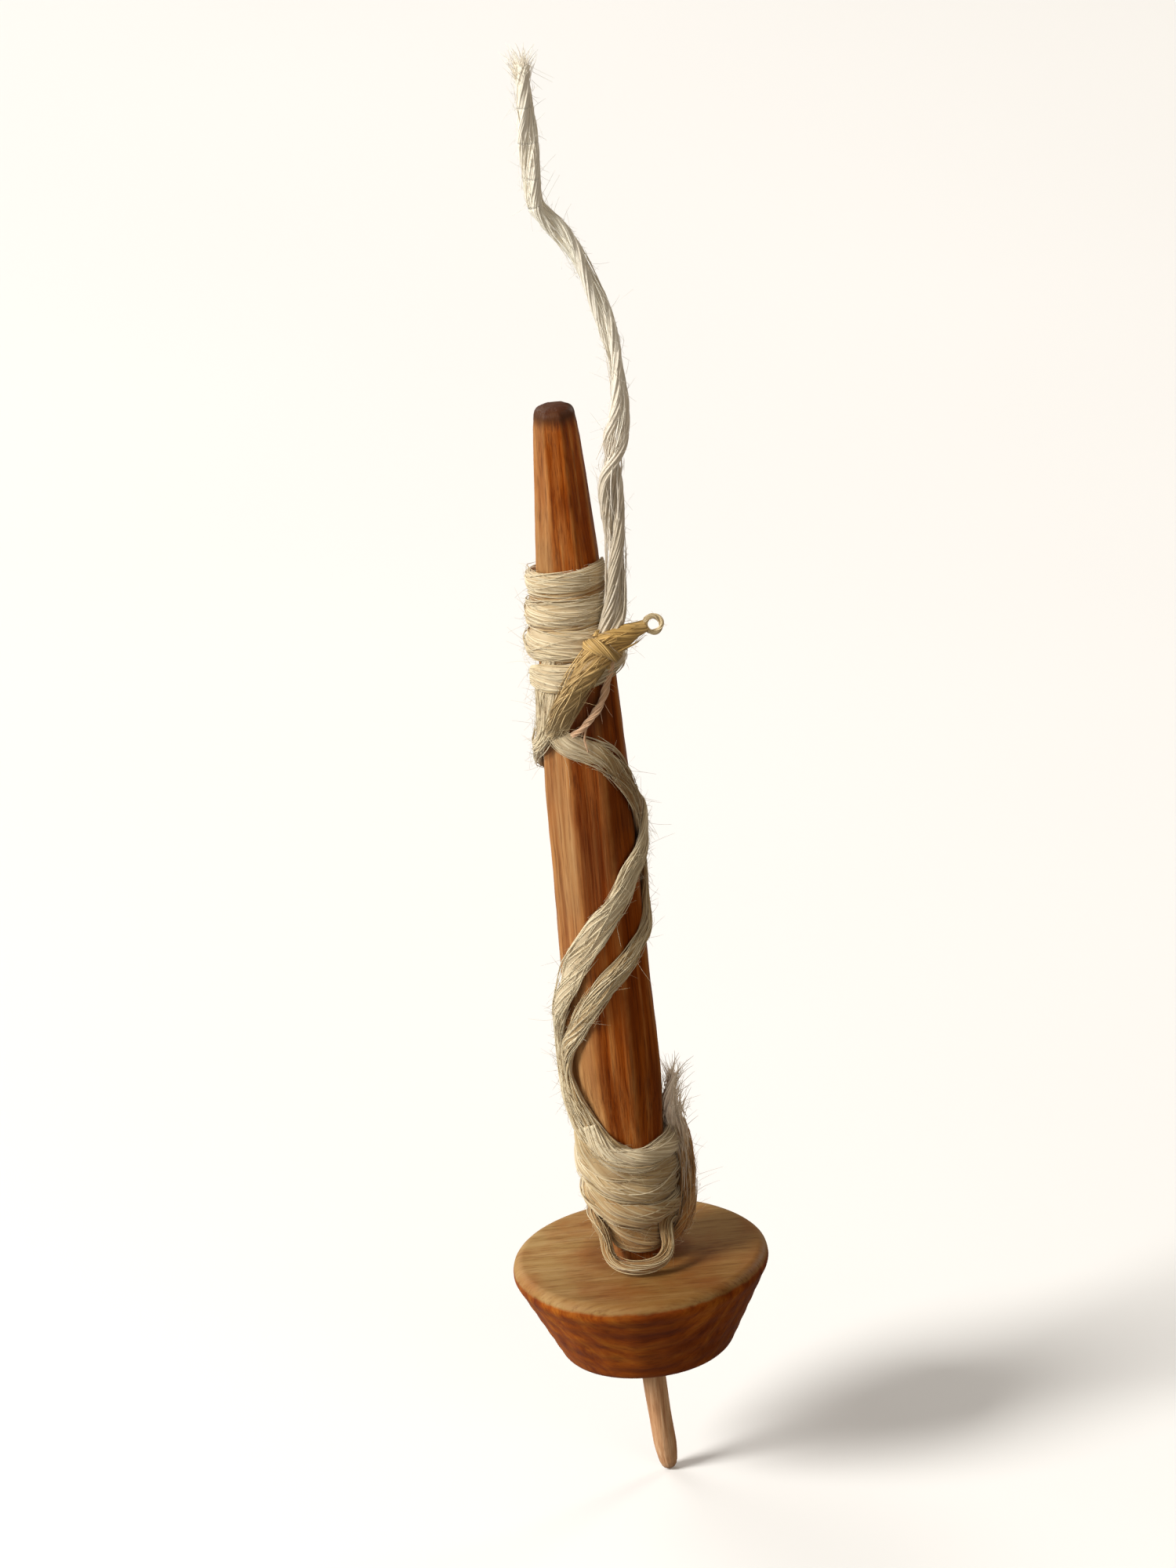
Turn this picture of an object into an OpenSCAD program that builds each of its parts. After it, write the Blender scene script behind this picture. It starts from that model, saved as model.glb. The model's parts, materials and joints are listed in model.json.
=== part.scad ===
// Miniature drop spindle: a whittled shaft, a conical whorl pegged under it,
// and woollen yarn wound on the shaft and rising from it as a leader.
// Millimetres. +Z runs up the shaft's axis. The origin is on that axis, in the
// plane of the whorl's underside. -Y is the front and +X the right.

/* [Whorl] */
// Widest diameter of the whorl, at its upper rim
whorl_d = 10.9; // [9:0.1:14]
// Diameter of the whorl's underside
whorl_foot_d = 7.1; // [5:0.1:8]
// Thickness of the whorl
whorl_h = 4.4; // [3.6:0.1:5]
// Rounding of the whorl's rims
whorl_round = 0.5; // [0.2:0.05:0.6]
// How far the whorl sits off the shaft's axis, because it is fitted by hand
whorl_shift = 0.34; // [0:0.02:0.4]

/* [Shaft] */
// Length of the shaft above the whorl
shaft_len = 38.9; // [38:0.1:42]
// Width of the shaft across its corners at its thickest
shaft_d = 4.2; // [4.0:0.05:4.5]
// Number of knife-cut flats round the shaft
shaft_flats = 8; // [6:1:10]
// How far the flats turn from the middle of the shaft to its upper tip, in degrees
flat_turn = -8; // [-25:1:25]
// How far the shaft's foot is whittled off the axis
foot_shift = 0.4; // [0:0.05:0.4]

/* [Peg] */
// Diameter of the peg inside the whorl and the shaft
peg_d = 1.2; // [1.1:0.05:1.3]
// Diameter of the peg's exposed length, the spindle's lower tip
tip_d = 1.0; // [0.8:0.05:1.05]
// Length of the peg below the whorl
peg_drop = 6.0; // [5:0.1:7]
// Depth of the peg in the shaft
peg_depth = 5.0; // [3:0.5:6]
// Lean of the peg from the shaft's axis, in degrees
peg_lean = 3.6; // [0:0.2:4]
// Radial clearance round the peg, where the glue sits
peg_gap = 0.02; // [0.01:0.01:0.05]

/* [Yarn] */
// Width of the two-ply yarn where it lies flattened on the wood
yarn_w = 0.9; // [0.7:0.05:0.95]
// Thickness of the yarn where it lies flattened on the wood
yarn_t = 0.5; // [0.4:0.05:0.6]
// Diameter of the leader, where the yarn hangs free
leader_d = 0.8; // [0.6:0.05:0.9]
// Height where the leader comes over the shaft's axis and is held
leader_top = 52.4; // [52:0.1:56]
// Length of yarn in the held end
held_len = 2.6; // [1.5:0.1:4]

/* [Hidden] */
$fn = 48;
air = 0.03;          // air left between yarn and what it lies on
loose_end = 0.6;     // scale of a strand's section at a loose end
winding_step = 15;   // degrees between the sections of a winding

wood_tan = [0.66, 0.47, 0.27];
wood_red = [0.48, 0.25, 0.09];
wool = [0.86, 0.81, 0.69];
wool_gold = [0.74, 0.60, 0.36];

// ---- Shape of the shaft ----

// Height above the whorl and corner radius, for a shaft 4.2 wide:
// a narrow foot, a belly low down, a slim upper tip.
belly_h = 9;
middle_h = 21;
shaft_stations = [
    [0, 1.40], [2.2, 1.50], [5.2, 1.68], [belly_h, 2.10], [14.6, 2.0], [middle_h, 1.94],
    [27, 1.72], [32.2, 1.40], [35.5, 1.16], [shaft_len - 0.35, 0.97], [shaft_len, 0.78]];
shaft_profile = [for (row = shaft_stations) [whorl_h + row[0], row[1] * shaft_d / 4.2]];

function shaft_r(z) = lookup(z, shaft_profile);

// The shaft's centre: off the axis at the foot, and back on it from the belly up.
function axis_x(z) = foot_shift * max(0, belly_h - max(z - whorl_h, 0)) / belly_h;

// A point at an angle round the shaft, at a height, lifted off the shaft's corners.
function on_shaft(angle, z, lift) =
    let (r = shaft_r(z) + lift)
    [axis_x(z) + r * cos(angle), r * sin(angle), z];

// ---- Curves and lofts ----

// Catmull-Rom curve through a list of points, with a number of steps in each span.
function curve_point(before, from, to, after, t) =
    0.5 * (2 * from + (to - before) * t
           + (2 * before - 5 * from + 4 * to - after) * t * t
           + (3 * from - before - 3 * to + after) * t * t * t);
function spline(points, steps) =
    let (last = len(points) - 1)
    [for (i = [0 : last - 1]) for (j = [0 : steps - 1])
        curve_point(points[max(i - 1, 0)], points[i], points[i + 1],
                    points[min(i + 2, last)], j / steps),
     points[last]];

function unit(v) = v / norm(v);
function tangent(path, i) = unit(path[min(i + 1, len(path) - 1)] - path[max(i - 1, 0)]);

// Direction square to the path: away from the shaft, or as near to facing as the path allows.
function outward(point, along, facing) =
    let (aim = is_undef(facing) ? [point[0] - axis_x(point[2]), point[1], 0] : facing)
    unit(aim - (aim * along) * along);

// Faces of a solid whose points are listed ring by ring: two end caps and the skin between.
function loft_faces(rings, sides) = [
    [for (j = [0 : sides - 1]) j],
    for (i = [0 : rings - 2]) for (j = [0 : sides - 1])
        let (a = i * sides + j, b = i * sides + (j + 1) % sides, c = a + sides, d = b + sides)
        each [[a, c, b], [b, c, d]],
    [for (j = [sides - 1 : -1 : 0]) (rings - 1) * sides + j]];

// A yarn: an oval section swept along a path. start and stop scale its two end sections.
module strand(path, half_thick, half_wide, facing = undef, sides = 10, start = 1, stop = 1) {
    last = len(path) - 1;
    points = [
        for (i = [0 : last])
            let (along = tangent(path, i),
                 out = outward(path[i], along, facing),
                 across = cross(along, out),
                 size = i == 0 ? start : i == last ? stop : 1)
            for (j = [0 : sides - 1])
                let (angle = 360 * j / sides)
                path[i] + size * (half_thick * cos(angle) * out
                                  + half_wide * sin(angle) * across)];
    polyhedron(points, loft_faces(last + 1, sides));
}

// ---- Wood ----

peg_shift = whorl_shift + 0.05;
bore_r = peg_d / 2 + peg_gap;

// Sets what follows in the peg's leaning frame, whose origin is on the whorl's underside.
module peg_frame() {
    translate([peg_shift, 0, 0]) rotate([0, -peg_lean, 0]) children();
}

module peg_bore(bottom, height) {
    peg_frame() translate([0, 0, bottom]) cylinder(h = height, r = bore_r);
}

module shaft() {
    overcut = 1;
    // The flats face the axes up to the middle of the shaft, then turn evenly to the tip.
    function corner_angle(z) =
        180 / shaft_flats
        + flat_turn * max(0, z - whorl_h - middle_h) / (shaft_len - middle_h);
    points = [
        for (row = shaft_profile) for (j = [0 : shaft_flats - 1])
            on_shaft(corner_angle(row[0]) + 360 * j / shaft_flats, row[0], 0)];
    color(wood_red) difference() {
        polyhedron(points, loft_faces(len(shaft_profile), shaft_flats));
        peg_bore(whorl_h - overcut, peg_depth + overcut + peg_gap);
    }
}

module whorl() {
    overcut = 2;
    sink_r = 1.2;
    sink_h = 0.7;
    sink_overcut = 0.2;
    // Centres of the two rim roundings, and the tilt of the straight side between them
    rim_centre = [whorl_d / 2 - whorl_round, whorl_h - whorl_round];
    foot_centre = [whorl_foot_d / 2 - whorl_round * 0.6, whorl_round];
    side = rim_centre - foot_centre;
    slope = atan2(side[0], side[1]);
    function arc(centre, from, to, steps) =
        [for (i = [0 : steps])
            let (angle = from + (to - from) * i / steps)
            centre + whorl_round * [cos(angle), sin(angle)]];
    color(wood_tan) difference() {
        translate([whorl_shift, 0, 0]) rotate_extrude($fn = 96)
            polygon(concat([[0, 0], [0, whorl_h]],
                           arc(rim_centre, 90, -slope, 8),
                           arc(foot_centre, -slope, -90, 5)));
        peg_bore(-overcut, whorl_h + 2 * overcut);
        // Countersink left by reaming the bore from below
        peg_frame() translate([0, 0, -sink_overcut])
            cylinder(h = sink_h, r1 = sink_r, r2 = bore_r);
    }
}

module tip_peg() {
    point_h = 1.1;    // tapered point, with its blunt end
    blunt_h = 0.12;
    neck_h = 0.6;     // taper from the peg to the thinner tip
    overlap = 0.01;
    module length(bottom, height, lower_d, upper_d) {
        translate([0, 0, bottom]) cylinder(h = height, r1 = lower_d / 2, r2 = upper_d / 2);
    }
    color(wood_tan) peg_frame() {
        length(-overlap, whorl_h + peg_depth + overlap, peg_d, peg_d);
        length(-neck_h, neck_h, tip_d, peg_d);
        length(-peg_drop + point_h, peg_drop - point_h - neck_h, tip_d, tip_d);
        length(-peg_drop + blunt_h, point_h - blunt_h, tip_d * 0.6, tip_d);
        length(-peg_drop, blunt_h, tip_d * 0.36, tip_d * 0.6);
    }
}

// ---- Cop ----

// Five turns wound on the shaft's foot, from the top down. The last lies loose on the whorl.
cop_turns = 5;
cop_start = 215;      // angle of the upper end round the shaft
cop_r = 0.38;
loose_from = 1380;    // angle wound before the yarn comes loose
loose_lift = 0.12;
// Angle wound and height above the whorl
cop_rows = [[0, 5.55], [360, 4.55], [720, 3.6], [1080, 2.65], [1350, 1.45], [1480, 0.5],
            [cop_turns * 360, 0.46]];
module cop_winding() {
    path = [for (a = [0 : winding_step : cop_turns * 360])
            on_shaft(a + cop_start, whorl_h + lookup(a, cop_rows),
                     cop_r + air + (a > loose_from ? loose_lift : 0))];
    color(wool) strand(path, cop_r, cop_r + 0.02);
}

// Loose end of the cop, standing up beside the shaft on the right.
module cop_tail() {
    path = [[2.86, 0.62, 10.2], [2.70, 0.60, 11.2], [2.62, 0.52, 12.2], [2.72, 0.46, 13.4]];
    color(wool) strand(spline(path, 4), 0.26, 0.34, [0, 1, 0],
                       start = loose_end, stop = loose_end);
}

// ---- Risers ----

// Two lengths of yarn between the cop and the hitch, listed from the top down.
// Each row is an angle round the shaft, a height and, where it is raised, an extra lift.
front_rows = [
    [238, 30.1], [246, 29.5], [258, 29.0], [273, 28.6], [291, 28.15], [307, 27.6], [323, 26.75],
    [339, 25.7], [352, 24.8], [364, 23.9], [374, 23.0], [376, 22.1], [368, 21.3], [352, 20.5],
    [337, 19.95], [323, 19.5], [306, 19.0], [289, 18.5], [272, 17.9], [256, 17.2], [241, 16.4],
    [228, 15.3], [223, 14.3], [230, 13.1], [240, 12.0], [250, 11.2]];

// The second length crosses over the first on the right of the shaft.
over = yarn_t + air;
back_rows = [
    [204, 30.3], [207, 29.6], [204, 28.9], [190, 28.2], [165, 27.5], [130, 26.8], [95, 26.2],
    [62, 25.6, 0.05], [38, 25.1, 0.35], [16, 24.6, over], [-4, 24.1, over], [-20, 23.5, over],
    [-34, 23.0, 0.25], [-48, 22.5], [-62, 21.9], [-76, 21.25], [-90, 20.6], [-103, 20.0],
    [-116, 19.25], [-130, 18.4], [-141, 17.6], [-151, 16.7], [-162, 15.4], [-166, 14.2],
    [-159, 13.1], [-149, 12.0], [-139, 11.2]];

module riser(rows, width) {
    path = [for (row = rows)
            on_shaft(row[0], row[1], yarn_t / 2 + air + (len(row) > 2 ? row[2] : 0))];
    strand(spline(path, 2), yarn_t / 2, width / 2);
}
module riser_front() { color(wool) riser(front_rows, yarn_w - 0.1); }
module riser_back() { color(wool) riser(back_rows, yarn_w); }

// ---- Hitch ----

// Flat turns near the upper tip that hold the leader, wound upward.
hitch_start = 200;    // angle of the lower end round the shaft
hitch_angle = 1200;   // angle wound
hitch_foot = 31.5;
hitch_pitch = 1.43;
hitch_half_t = 0.22;
foot_lift = 0.12;     // extra lift at the lower end
foot_fade = 500;      // angle over which that lift fades out
module hitch_winding() {
    path = [for (a = [0 : winding_step : hitch_angle])
            on_shaft(a + hitch_start, hitch_foot + hitch_pitch * a / 360,
                     hitch_half_t + air + foot_lift * max(0, 1 - a / foot_fade))];
    color(wool) strand(path, hitch_half_t, hitch_pitch / 2 - air);
}

// Glued stub of the hitch: it lies over the winding, turns outward and ends in a small loop.
module hitch_stub() {
    path = [[0.10, -2.70, 31.1], [0.44, -2.62, 32.0], [0.92, -2.40, 32.8],
            [1.50, -2.12, 33.35], [2.20, -1.82, 33.6], [2.96, -1.65, 33.82]];
    loop_centre = [3.28, -1.62, 33.84];
    loop_tilt = 74;
    loop_r = 0.32;
    loop_wire_r = 0.08;
    color(wool_gold) {
        strand(spline(path, 4), 0.28, 0.32, [0, -1, 0], start = loose_end, stop = 0.7);
        translate(loop_centre) rotate([loop_tilt, 0, 0]) rotate_extrude($fn = 24)
            translate([loop_r, 0]) circle(r = loop_wire_r, $fn = 16);
    }
}

// Thin thread slanting across the riser, just below the stub.
module binding_thread() {
    path = [[1.30, -2.10, 30.60], [0.72, -2.38, 30.35], [0.12, -2.50, 29.85],
            [-0.35, -2.48, 29.45], [-0.75, -2.38, 29.15]];
    color(wool_gold) strand(spline(path, 4), 0.11, 0.11, [0, -1, 0], sides = 8,
                            start = loose_end, stop = loose_end);
}

// ---- Leader ----

leader_r = leader_d / 2;
held_air = 0.05;      // air above and below the height where the leader is held
hinge_air = 0.16;     // air above and below each pivot
side_z = leader_top + 1.7;
fore_z = leader_top + 3.2;
hinge_end = 0.85;     // scale of the section at a hinged end

// From the hitch up beside the tip, then over the axis, where it is held.
module leader_lower() {
    path = [[2.02, -1.50, 34.75], [1.98, -1.45, 36.1], [1.90, -1.30, 37.5], [1.86, -1.10, 38.8],
            [1.96, -1.00, 40.1], [2.26, -0.90, 41.4], [2.60, -0.80, 42.7], [2.76, -0.68, 43.8],
            [2.72, -0.50, 45.2], [2.46, -0.35, 46.8], [2.05, -0.20, 48.4], [1.34, -0.08, 50.2],
            [0.50, 0, 51.4], [0.08, 0, leader_top - 0.25], [0, 0, leader_top - held_air]];
    color(wool) strand(spline(path, 3), leader_r, leader_r, [0, 1, 0]);
}

// Upright lengths of the held yarn, between the pivots it swings and spins on.
module plumb(bottom, top, stop = hinge_end) {
    path = [for (z = [bottom, bottom + 0.1, (bottom + top) / 2, top - 0.25, top]) [0, 0, z]];
    strand(path, leader_r, leader_r, [0, 1, 0], sides = 16, start = hinge_end, stop = stop);
}
module leader_upper() { color(wool) plumb(leader_top + held_air, side_z - hinge_air); }
module leader_link() { color(wool) plumb(side_z + hinge_air, fore_z - hinge_air); }
module leader_end() { color(wool) plumb(fore_z + hinge_air, fore_z + held_len, loose_end); }

shaft();
whorl();
tip_peg();
cop_winding();
cop_tail();
riser_front();
riser_back();
hitch_winding();
hitch_stub();
binding_thread();
leader_lower();
leader_upper();
leader_link();
leader_end();
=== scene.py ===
"""Looks of a miniature drop spindle: whittled shaft, conical whorl, split peg and two-ply wool.

The shaft stands along +Z from the whorl's upper face. The whorl's underside lies at z = 0 and the
leaning peg hangs below it. The wool winds round the shaft and leaves upward as a doubled leader.
Front is -Y, where the camera is, and right is +X. Shapes are in millimetres; angles round the
shaft are in degrees from +X, anticlockwise from above.
"""
import json
import math

import bpy
import numpy as np
from mathutils import Matrix, Vector


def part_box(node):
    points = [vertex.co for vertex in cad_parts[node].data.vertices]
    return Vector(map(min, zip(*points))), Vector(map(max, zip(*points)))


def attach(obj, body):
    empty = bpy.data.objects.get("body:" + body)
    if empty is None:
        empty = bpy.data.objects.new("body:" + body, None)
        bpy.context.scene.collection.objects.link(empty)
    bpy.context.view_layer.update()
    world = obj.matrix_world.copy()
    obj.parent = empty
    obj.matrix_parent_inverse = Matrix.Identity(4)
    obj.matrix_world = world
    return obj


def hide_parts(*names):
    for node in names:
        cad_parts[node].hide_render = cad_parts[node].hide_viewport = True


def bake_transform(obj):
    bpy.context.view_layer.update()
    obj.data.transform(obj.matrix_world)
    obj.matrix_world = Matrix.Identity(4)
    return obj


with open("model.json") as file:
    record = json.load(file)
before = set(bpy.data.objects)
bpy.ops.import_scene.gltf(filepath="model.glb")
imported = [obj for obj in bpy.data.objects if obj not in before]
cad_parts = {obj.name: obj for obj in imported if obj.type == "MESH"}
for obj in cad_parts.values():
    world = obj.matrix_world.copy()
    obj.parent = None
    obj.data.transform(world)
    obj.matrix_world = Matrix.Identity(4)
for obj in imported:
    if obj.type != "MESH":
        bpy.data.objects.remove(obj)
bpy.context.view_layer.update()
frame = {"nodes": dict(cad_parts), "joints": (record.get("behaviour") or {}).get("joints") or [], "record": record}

MM = 0.001
TAU = 2 * math.pi
scene = bpy.context.scene


# ---------------------------------------------------------------------------------------------
# The frame, in millimetres
# ---------------------------------------------------------------------------------------------
def box_mm(node):
    low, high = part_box(node)
    return np.array(low) / MM, np.array(high) / MM


def node_points(node):
    return np.array([v.co for v in frame["nodes"][node].data.vertices], float) / MM


WHORL_LO, WHORL_HI = box_mm("whorl")
PEG_LO, PEG_HI = box_mm("tip_peg")
FACE_Z = float(WHORL_HI[2])              # the whorl's upper face
TIP_Z = float(box_mm("shaft")[1][2])     # the shaft's upper tip
RAISE = FACE_Z - 4.4                     # the yarn tables are written for a whorl 4.4 mm tall
WHORL_X = (WHORL_LO[0] + WHORL_HI[0]) / 2
WHORL_Y = (WHORL_LO[1] + WHORL_HI[1]) / 2
WHORL_RADIUS = (WHORL_HI[0] - WHORL_LO[0]) / 2

joints = {j["name"]: j for j in frame["joints"]}
SPIN_Z, SIDE_Z, FORE_Z = (joints[name]["pos_m"][2] / MM
                          for name in ("spindle_spin", "swing_side", "swing_fore"))
LEADER_TOP = float(box_mm("leader_end")[1][2])

pin = [m for m in frame["record"]["mounts"] if m["name"] == "lower_tip"][0]
pin_point = np.array(pin["pos_m"]) / MM
PEG_AXIS = -np.array(pin["axis"], float)                       # up along the peg
PEG_AXIS /= np.linalg.norm(PEG_AXIS)
PEG_ROOT = pin_point - PEG_AXIS * (pin_point[2] / PEG_AXIS[2])   # on the whorl's underside
PEG_X = np.array([PEG_AXIS[2], 0, -PEG_AXIS[0]])
PEG_X /= np.linalg.norm(PEG_X)
PEG_Y = np.cross(PEG_AXIS, PEG_X)


def along_peg(z):
    """Distance along the peg's axis at which it reaches height z."""
    return float((z - PEG_ROOT[2]) / PEG_AXIS[2])


PEG_LENGTH = along_peg(PEG_HI[2])        # above the whorl's underside
PEG_DROP = -along_peg(PEG_LO[2])         # below it
PEG_INNER_RADIUS = 0.60                  # inside the wood
PEG_OUTER_RADIUS = float(pin["dims"]["r_mm"])
BORE_RADIUS = PEG_INNER_RADIUS + 0.02


def peg_ring(radius, phi, distance):
    """Points of a ring round the peg's leaning axis, at a distance along it."""
    return (PEG_ROOT + distance * PEG_AXIS + (radius * np.cos(phi))[..., None] * PEG_X
            + (radius * np.sin(phi))[..., None] * PEG_Y)


def shaft_levels():
    """Height, centre x, corner radius, first corner's angle and corner count of each CAD level."""
    points = node_points("shaft")
    levels = []
    for z in np.unique(np.round(points[:, 2], 3)):
        ring = np.unique(np.round(points[np.abs(points[:, 2] - z) < 2e-3][:, :2], 4), axis=0)
        if len(ring) < 6:
            continue
        centre = (ring[:, 0].max() + ring[:, 0].min()) / 2
        radius = np.hypot(ring[:, 0] - centre, ring[:, 1])
        corner = radius > radius.max() * 0.93
        count = corner.sum()
        if count < 6 or count > 12 or radius.max() < 0.68:
            continue
        angle = np.degrees(np.arctan2(ring[corner][:, 1], ring[corner][:, 0] - centre))
        levels.append((z, centre, radius.max(), float(np.median(angle % (360 / count))), count))
    return np.array(levels, float).T


LEVEL_Z, LEVEL_CENTRE, LEVEL_RADIUS, LEVEL_ANGLE, LEVEL_CORNERS = shaft_levels()
N_FLATS = int(np.median(LEVEL_CORNERS))
APOTHEM = math.cos(math.pi / N_FLATS)    # of a flat, as a share of the corner radius
# how pale each flat is, by the direction it faces: partly paler cuts made after the stain, partly a painted
# highlight on the flats that face the light
FLAT_PALENESS_AND_HIGHLIGHT = {0: 0.25, 45: 0.25, 90: 0.45, 135: 0.10, 180: 0.50, 225: 0.70, 270: 0.12, 315: 0.0}


def wave(x, seed, terms):
    """Smooth pseudo-random curve of x, about -1 to 1."""
    rng = np.random.default_rng(seed)
    x = np.asarray(x, float)
    total = np.zeros_like(x)
    for i in range(terms):
        frequency = 0.6 + 1.1 * i + 0.5 * rng.random()
        total = total + np.sin(x * frequency + rng.random() * TAU) / (1 + 0.6 * i)
    return total / 1.9


def smooth_levels(z, values):
    """The CAD's straight-sided profile, eased at its breaks."""
    z = np.asarray(z, float)
    total = np.zeros_like(z)
    for offset, weight in ((-1.0, 0.12), (-0.5, 0.22), (0, 0.32), (0.5, 0.22), (1.0, 0.12)):
        total = total + weight * np.interp(z + offset * 1.2, LEVEL_Z, values)
    return total


def shaft_centre(z):
    return smooth_levels(z, LEVEL_CENTRE)


def flat_angles(z):
    """Direction each flat faces at height z, in radians."""
    first = np.radians(smooth_levels(z, LEVEL_ANGLE)) + math.pi / N_FLATS
    return [first + TAU * i / N_FLATS for i in range(N_FLATS)]


def flat_paleness_and_highlight(theta, z):
    """Paleness of each flat, partly a paler cut and partly a painted highlight where the flat faces the light; it
    changes a little along the flat.
    """
    total = np.zeros(np.broadcast(theta, z).shape)
    weights = np.zeros_like(total)
    for i, angle in enumerate(flat_angles(z)):
        facing = int(round(math.degrees(float(np.mean(angle))) / 45.0)) * 45 % 360
        weight = np.maximum(np.cos(theta - angle), 0.01) ** 46
        total += weight * FLAT_PALENESS_AND_HIGHLIGHT[facing] * (0.78 + 0.30 * wave(z * 0.30 + i, 140 + i, 3))
        weights += weight
    return np.clip(total / weights, 0, 1)


def shaft_surface(theta, z):
    """Whittled radius round the shaft's own centre, and nearness to an edge between flats."""
    theta, z = np.broadcast_arrays(np.asarray(theta, float), np.asarray(z, float))
    corner_radius = smooth_levels(np.minimum(z, TIP_Z - 0.4), LEVEL_RADIUS)
    sharpness = 34.0
    total = np.zeros_like(corner_radius)
    nearest = np.full_like(corner_radius, 9e9)
    second = np.full_like(corner_radius, 9e9)
    for i, angle in enumerate(flat_angles(z)):
        angle = angle + 0.10 * wave(z * 0.16 + i * 3.1, 40 + i, 3)
        uneven = 1 + 0.020 * wave(z * 0.22 + i, 60 + i, 3) + 0.006 * wave(z * 1.3, 80 + i, 4)
        apothem = corner_radius * APOTHEM * uneven
        cosine = np.cos(theta - angle)
        facing, safe = cosine > 0.05, np.maximum(cosine, 0.05)
        distance = np.where(facing, apothem / safe, 9e9)
        total = total + np.where(facing, (safe / apothem) ** sharpness, 0)
        second = np.minimum(second, np.maximum(nearest, distance))
        nearest = np.minimum(nearest, distance)
    edge = np.exp(-((second - nearest) / (0.055 * corner_radius)) ** 2)
    return total ** (-1 / sharpness) * 0.995, edge


# ---------------------------------------------------------------------------------------------
# Mesh building
# ---------------------------------------------------------------------------------------------
class Part:
    """Vertices, faces and per-vertex attributes of one piece, gathered from closed shells."""

    def __init__(self):
        self.points, self.quads, self.tris, self.attrs, self.count = [], [], [], {}, 0

    def shell(self, points, quads, tris, **attrs):
        """Add a closed shell, turned so that its faces look outward."""
        points = np.asarray(points, float)
        volume = 0
        for faces in (tris, quads[:, [0, 1, 2]], quads[:, [0, 2, 3]]):
            a, b, c = (points[faces[:, i]] for i in range(3))
            volume += np.einsum("ij,ij->i", a, np.cross(b, c)).sum()
        if volume < 0:
            quads, tris = quads[:, ::-1], tris[:, ::-1]
        self.points.append(points)
        self.quads.append(quads + self.count)
        self.tris.append(tris + self.count)
        for key, values in attrs.items():
            self.attrs.setdefault(key, []).append(np.asarray(values, float))
        self.count += len(points)

    def build(self, name, material, flat_caps=False):
        points = np.concatenate(self.points) * MM
        quads, tris = np.concatenate(self.quads), np.concatenate(self.tris)
        mesh = bpy.data.meshes.new(name)
        mesh.vertices.add(len(points))
        mesh.vertices.foreach_set("co", points.astype(np.float32).ravel())
        loops = np.concatenate([tris.ravel(), quads.ravel()]).astype(np.int32)
        mesh.loops.add(len(loops))
        mesh.loops.foreach_set("vertex_index", loops)
        starts = np.concatenate([np.arange(len(tris)) * 3,
                                 len(tris) * 3 + np.arange(len(quads)) * 4]).astype(np.int32)
        mesh.polygons.add(len(starts))
        mesh.polygons.foreach_set("loop_start", starts)
        first_smooth = len(tris) if flat_caps else 0
        mesh.polygons.foreach_set("use_smooth", np.arange(len(starts)) >= first_smooth)
        mesh.update(calc_edges=True)
        for key, chunks in self.attrs.items():
            data = np.concatenate(chunks).astype(np.float32)
            vector = data.ndim == 2
            attr = mesh.attributes.new(key, "FLOAT_VECTOR" if vector else "FLOAT", "POINT")
            attr.data.foreach_set("vector" if vector else "value", data.ravel())
        mesh.validate()
        ob = bpy.data.objects.new(name, mesh)
        scene.collection.objects.link(ob)
        mesh.materials.append(material)
        ob["tris"] = int(len(quads) * 2 + len(tris))     # triangle count, kept with the piece
        return ob


def grid_faces(rows, sides):
    i = np.arange(rows - 1)[:, None] * sides
    j = np.arange(sides)[None, :]
    k = (j + 1) % sides
    return np.stack([i + j, i + k, i + sides + k, i + sides + j], -1).reshape(-1, 4)


def capped(rings, centre0, centre1):
    """A closed tube: rings is (rows, sides, 3), with a centre point closing each end."""
    rows, sides, _ = rings.shape
    points = np.concatenate([rings.reshape(-1, 3), [centre0, centre1]])
    j = np.arange(sides)
    k = (j + 1) % sides
    start, end = rows * sides, rows * sides + 1
    last = (rows - 1) * sides
    tris = np.concatenate([np.stack([np.full(sides, start), k, j], -1),
                           np.stack([np.full(sides, end), last + j, last + k], -1)])
    return points, grid_faces(rows, sides), tris


def with_ends(values):
    """Values given at each ring point, followed by those of the two cap centres."""
    flat = values.reshape(-1, *values.shape[2:])
    return np.concatenate([flat, values[:1, 0], values[-1:, 0]])


def circle(sides):
    return TAU * np.arange(sides) / sides


def rings_round(line, radius_n, radius_b, normal, binormal, phi):
    """Oval rings round each point of a line."""
    return (line[:, None] + (radius_n * np.cos(phi))[..., None] * normal[:, None]
            + (radius_b * np.sin(phi))[..., None] * binormal[:, None])


# ---------------------------------------------------------------------------------------------
# Paths
# ---------------------------------------------------------------------------------------------
def catmull(points, steps):
    """Catmull-Rom curve through the points, with this many steps between each two."""
    p = np.asarray(points, float)
    p = np.vstack([2 * p[0] - p[1], p, 2 * p[-1] - p[-2]])
    t = (np.arange(steps) / steps)[:, None]
    spans = []
    for a, b, c, d in zip(p, p[1:], p[2:], p[3:]):
        spans.append(0.5 * (2 * b + (c - a) * t + (2 * a - 5 * b + 4 * c - d) * t ** 2
                            + (3 * b - a - 3 * c + d) * t ** 3))
    return np.vstack(spans + [p[-2][None]])


def arc_length(points):
    """Distance along a path to each of its points."""
    return np.concatenate([[0], np.cumsum(np.linalg.norm(np.diff(points, axis=0), axis=1))])


def ease(values):
    """Pull each inner value halfway to the mean of its neighbours."""
    values[1:-1] = 0.25 * values[:-2] + 0.5 * values[1:-1] + 0.25 * values[2:]


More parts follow.
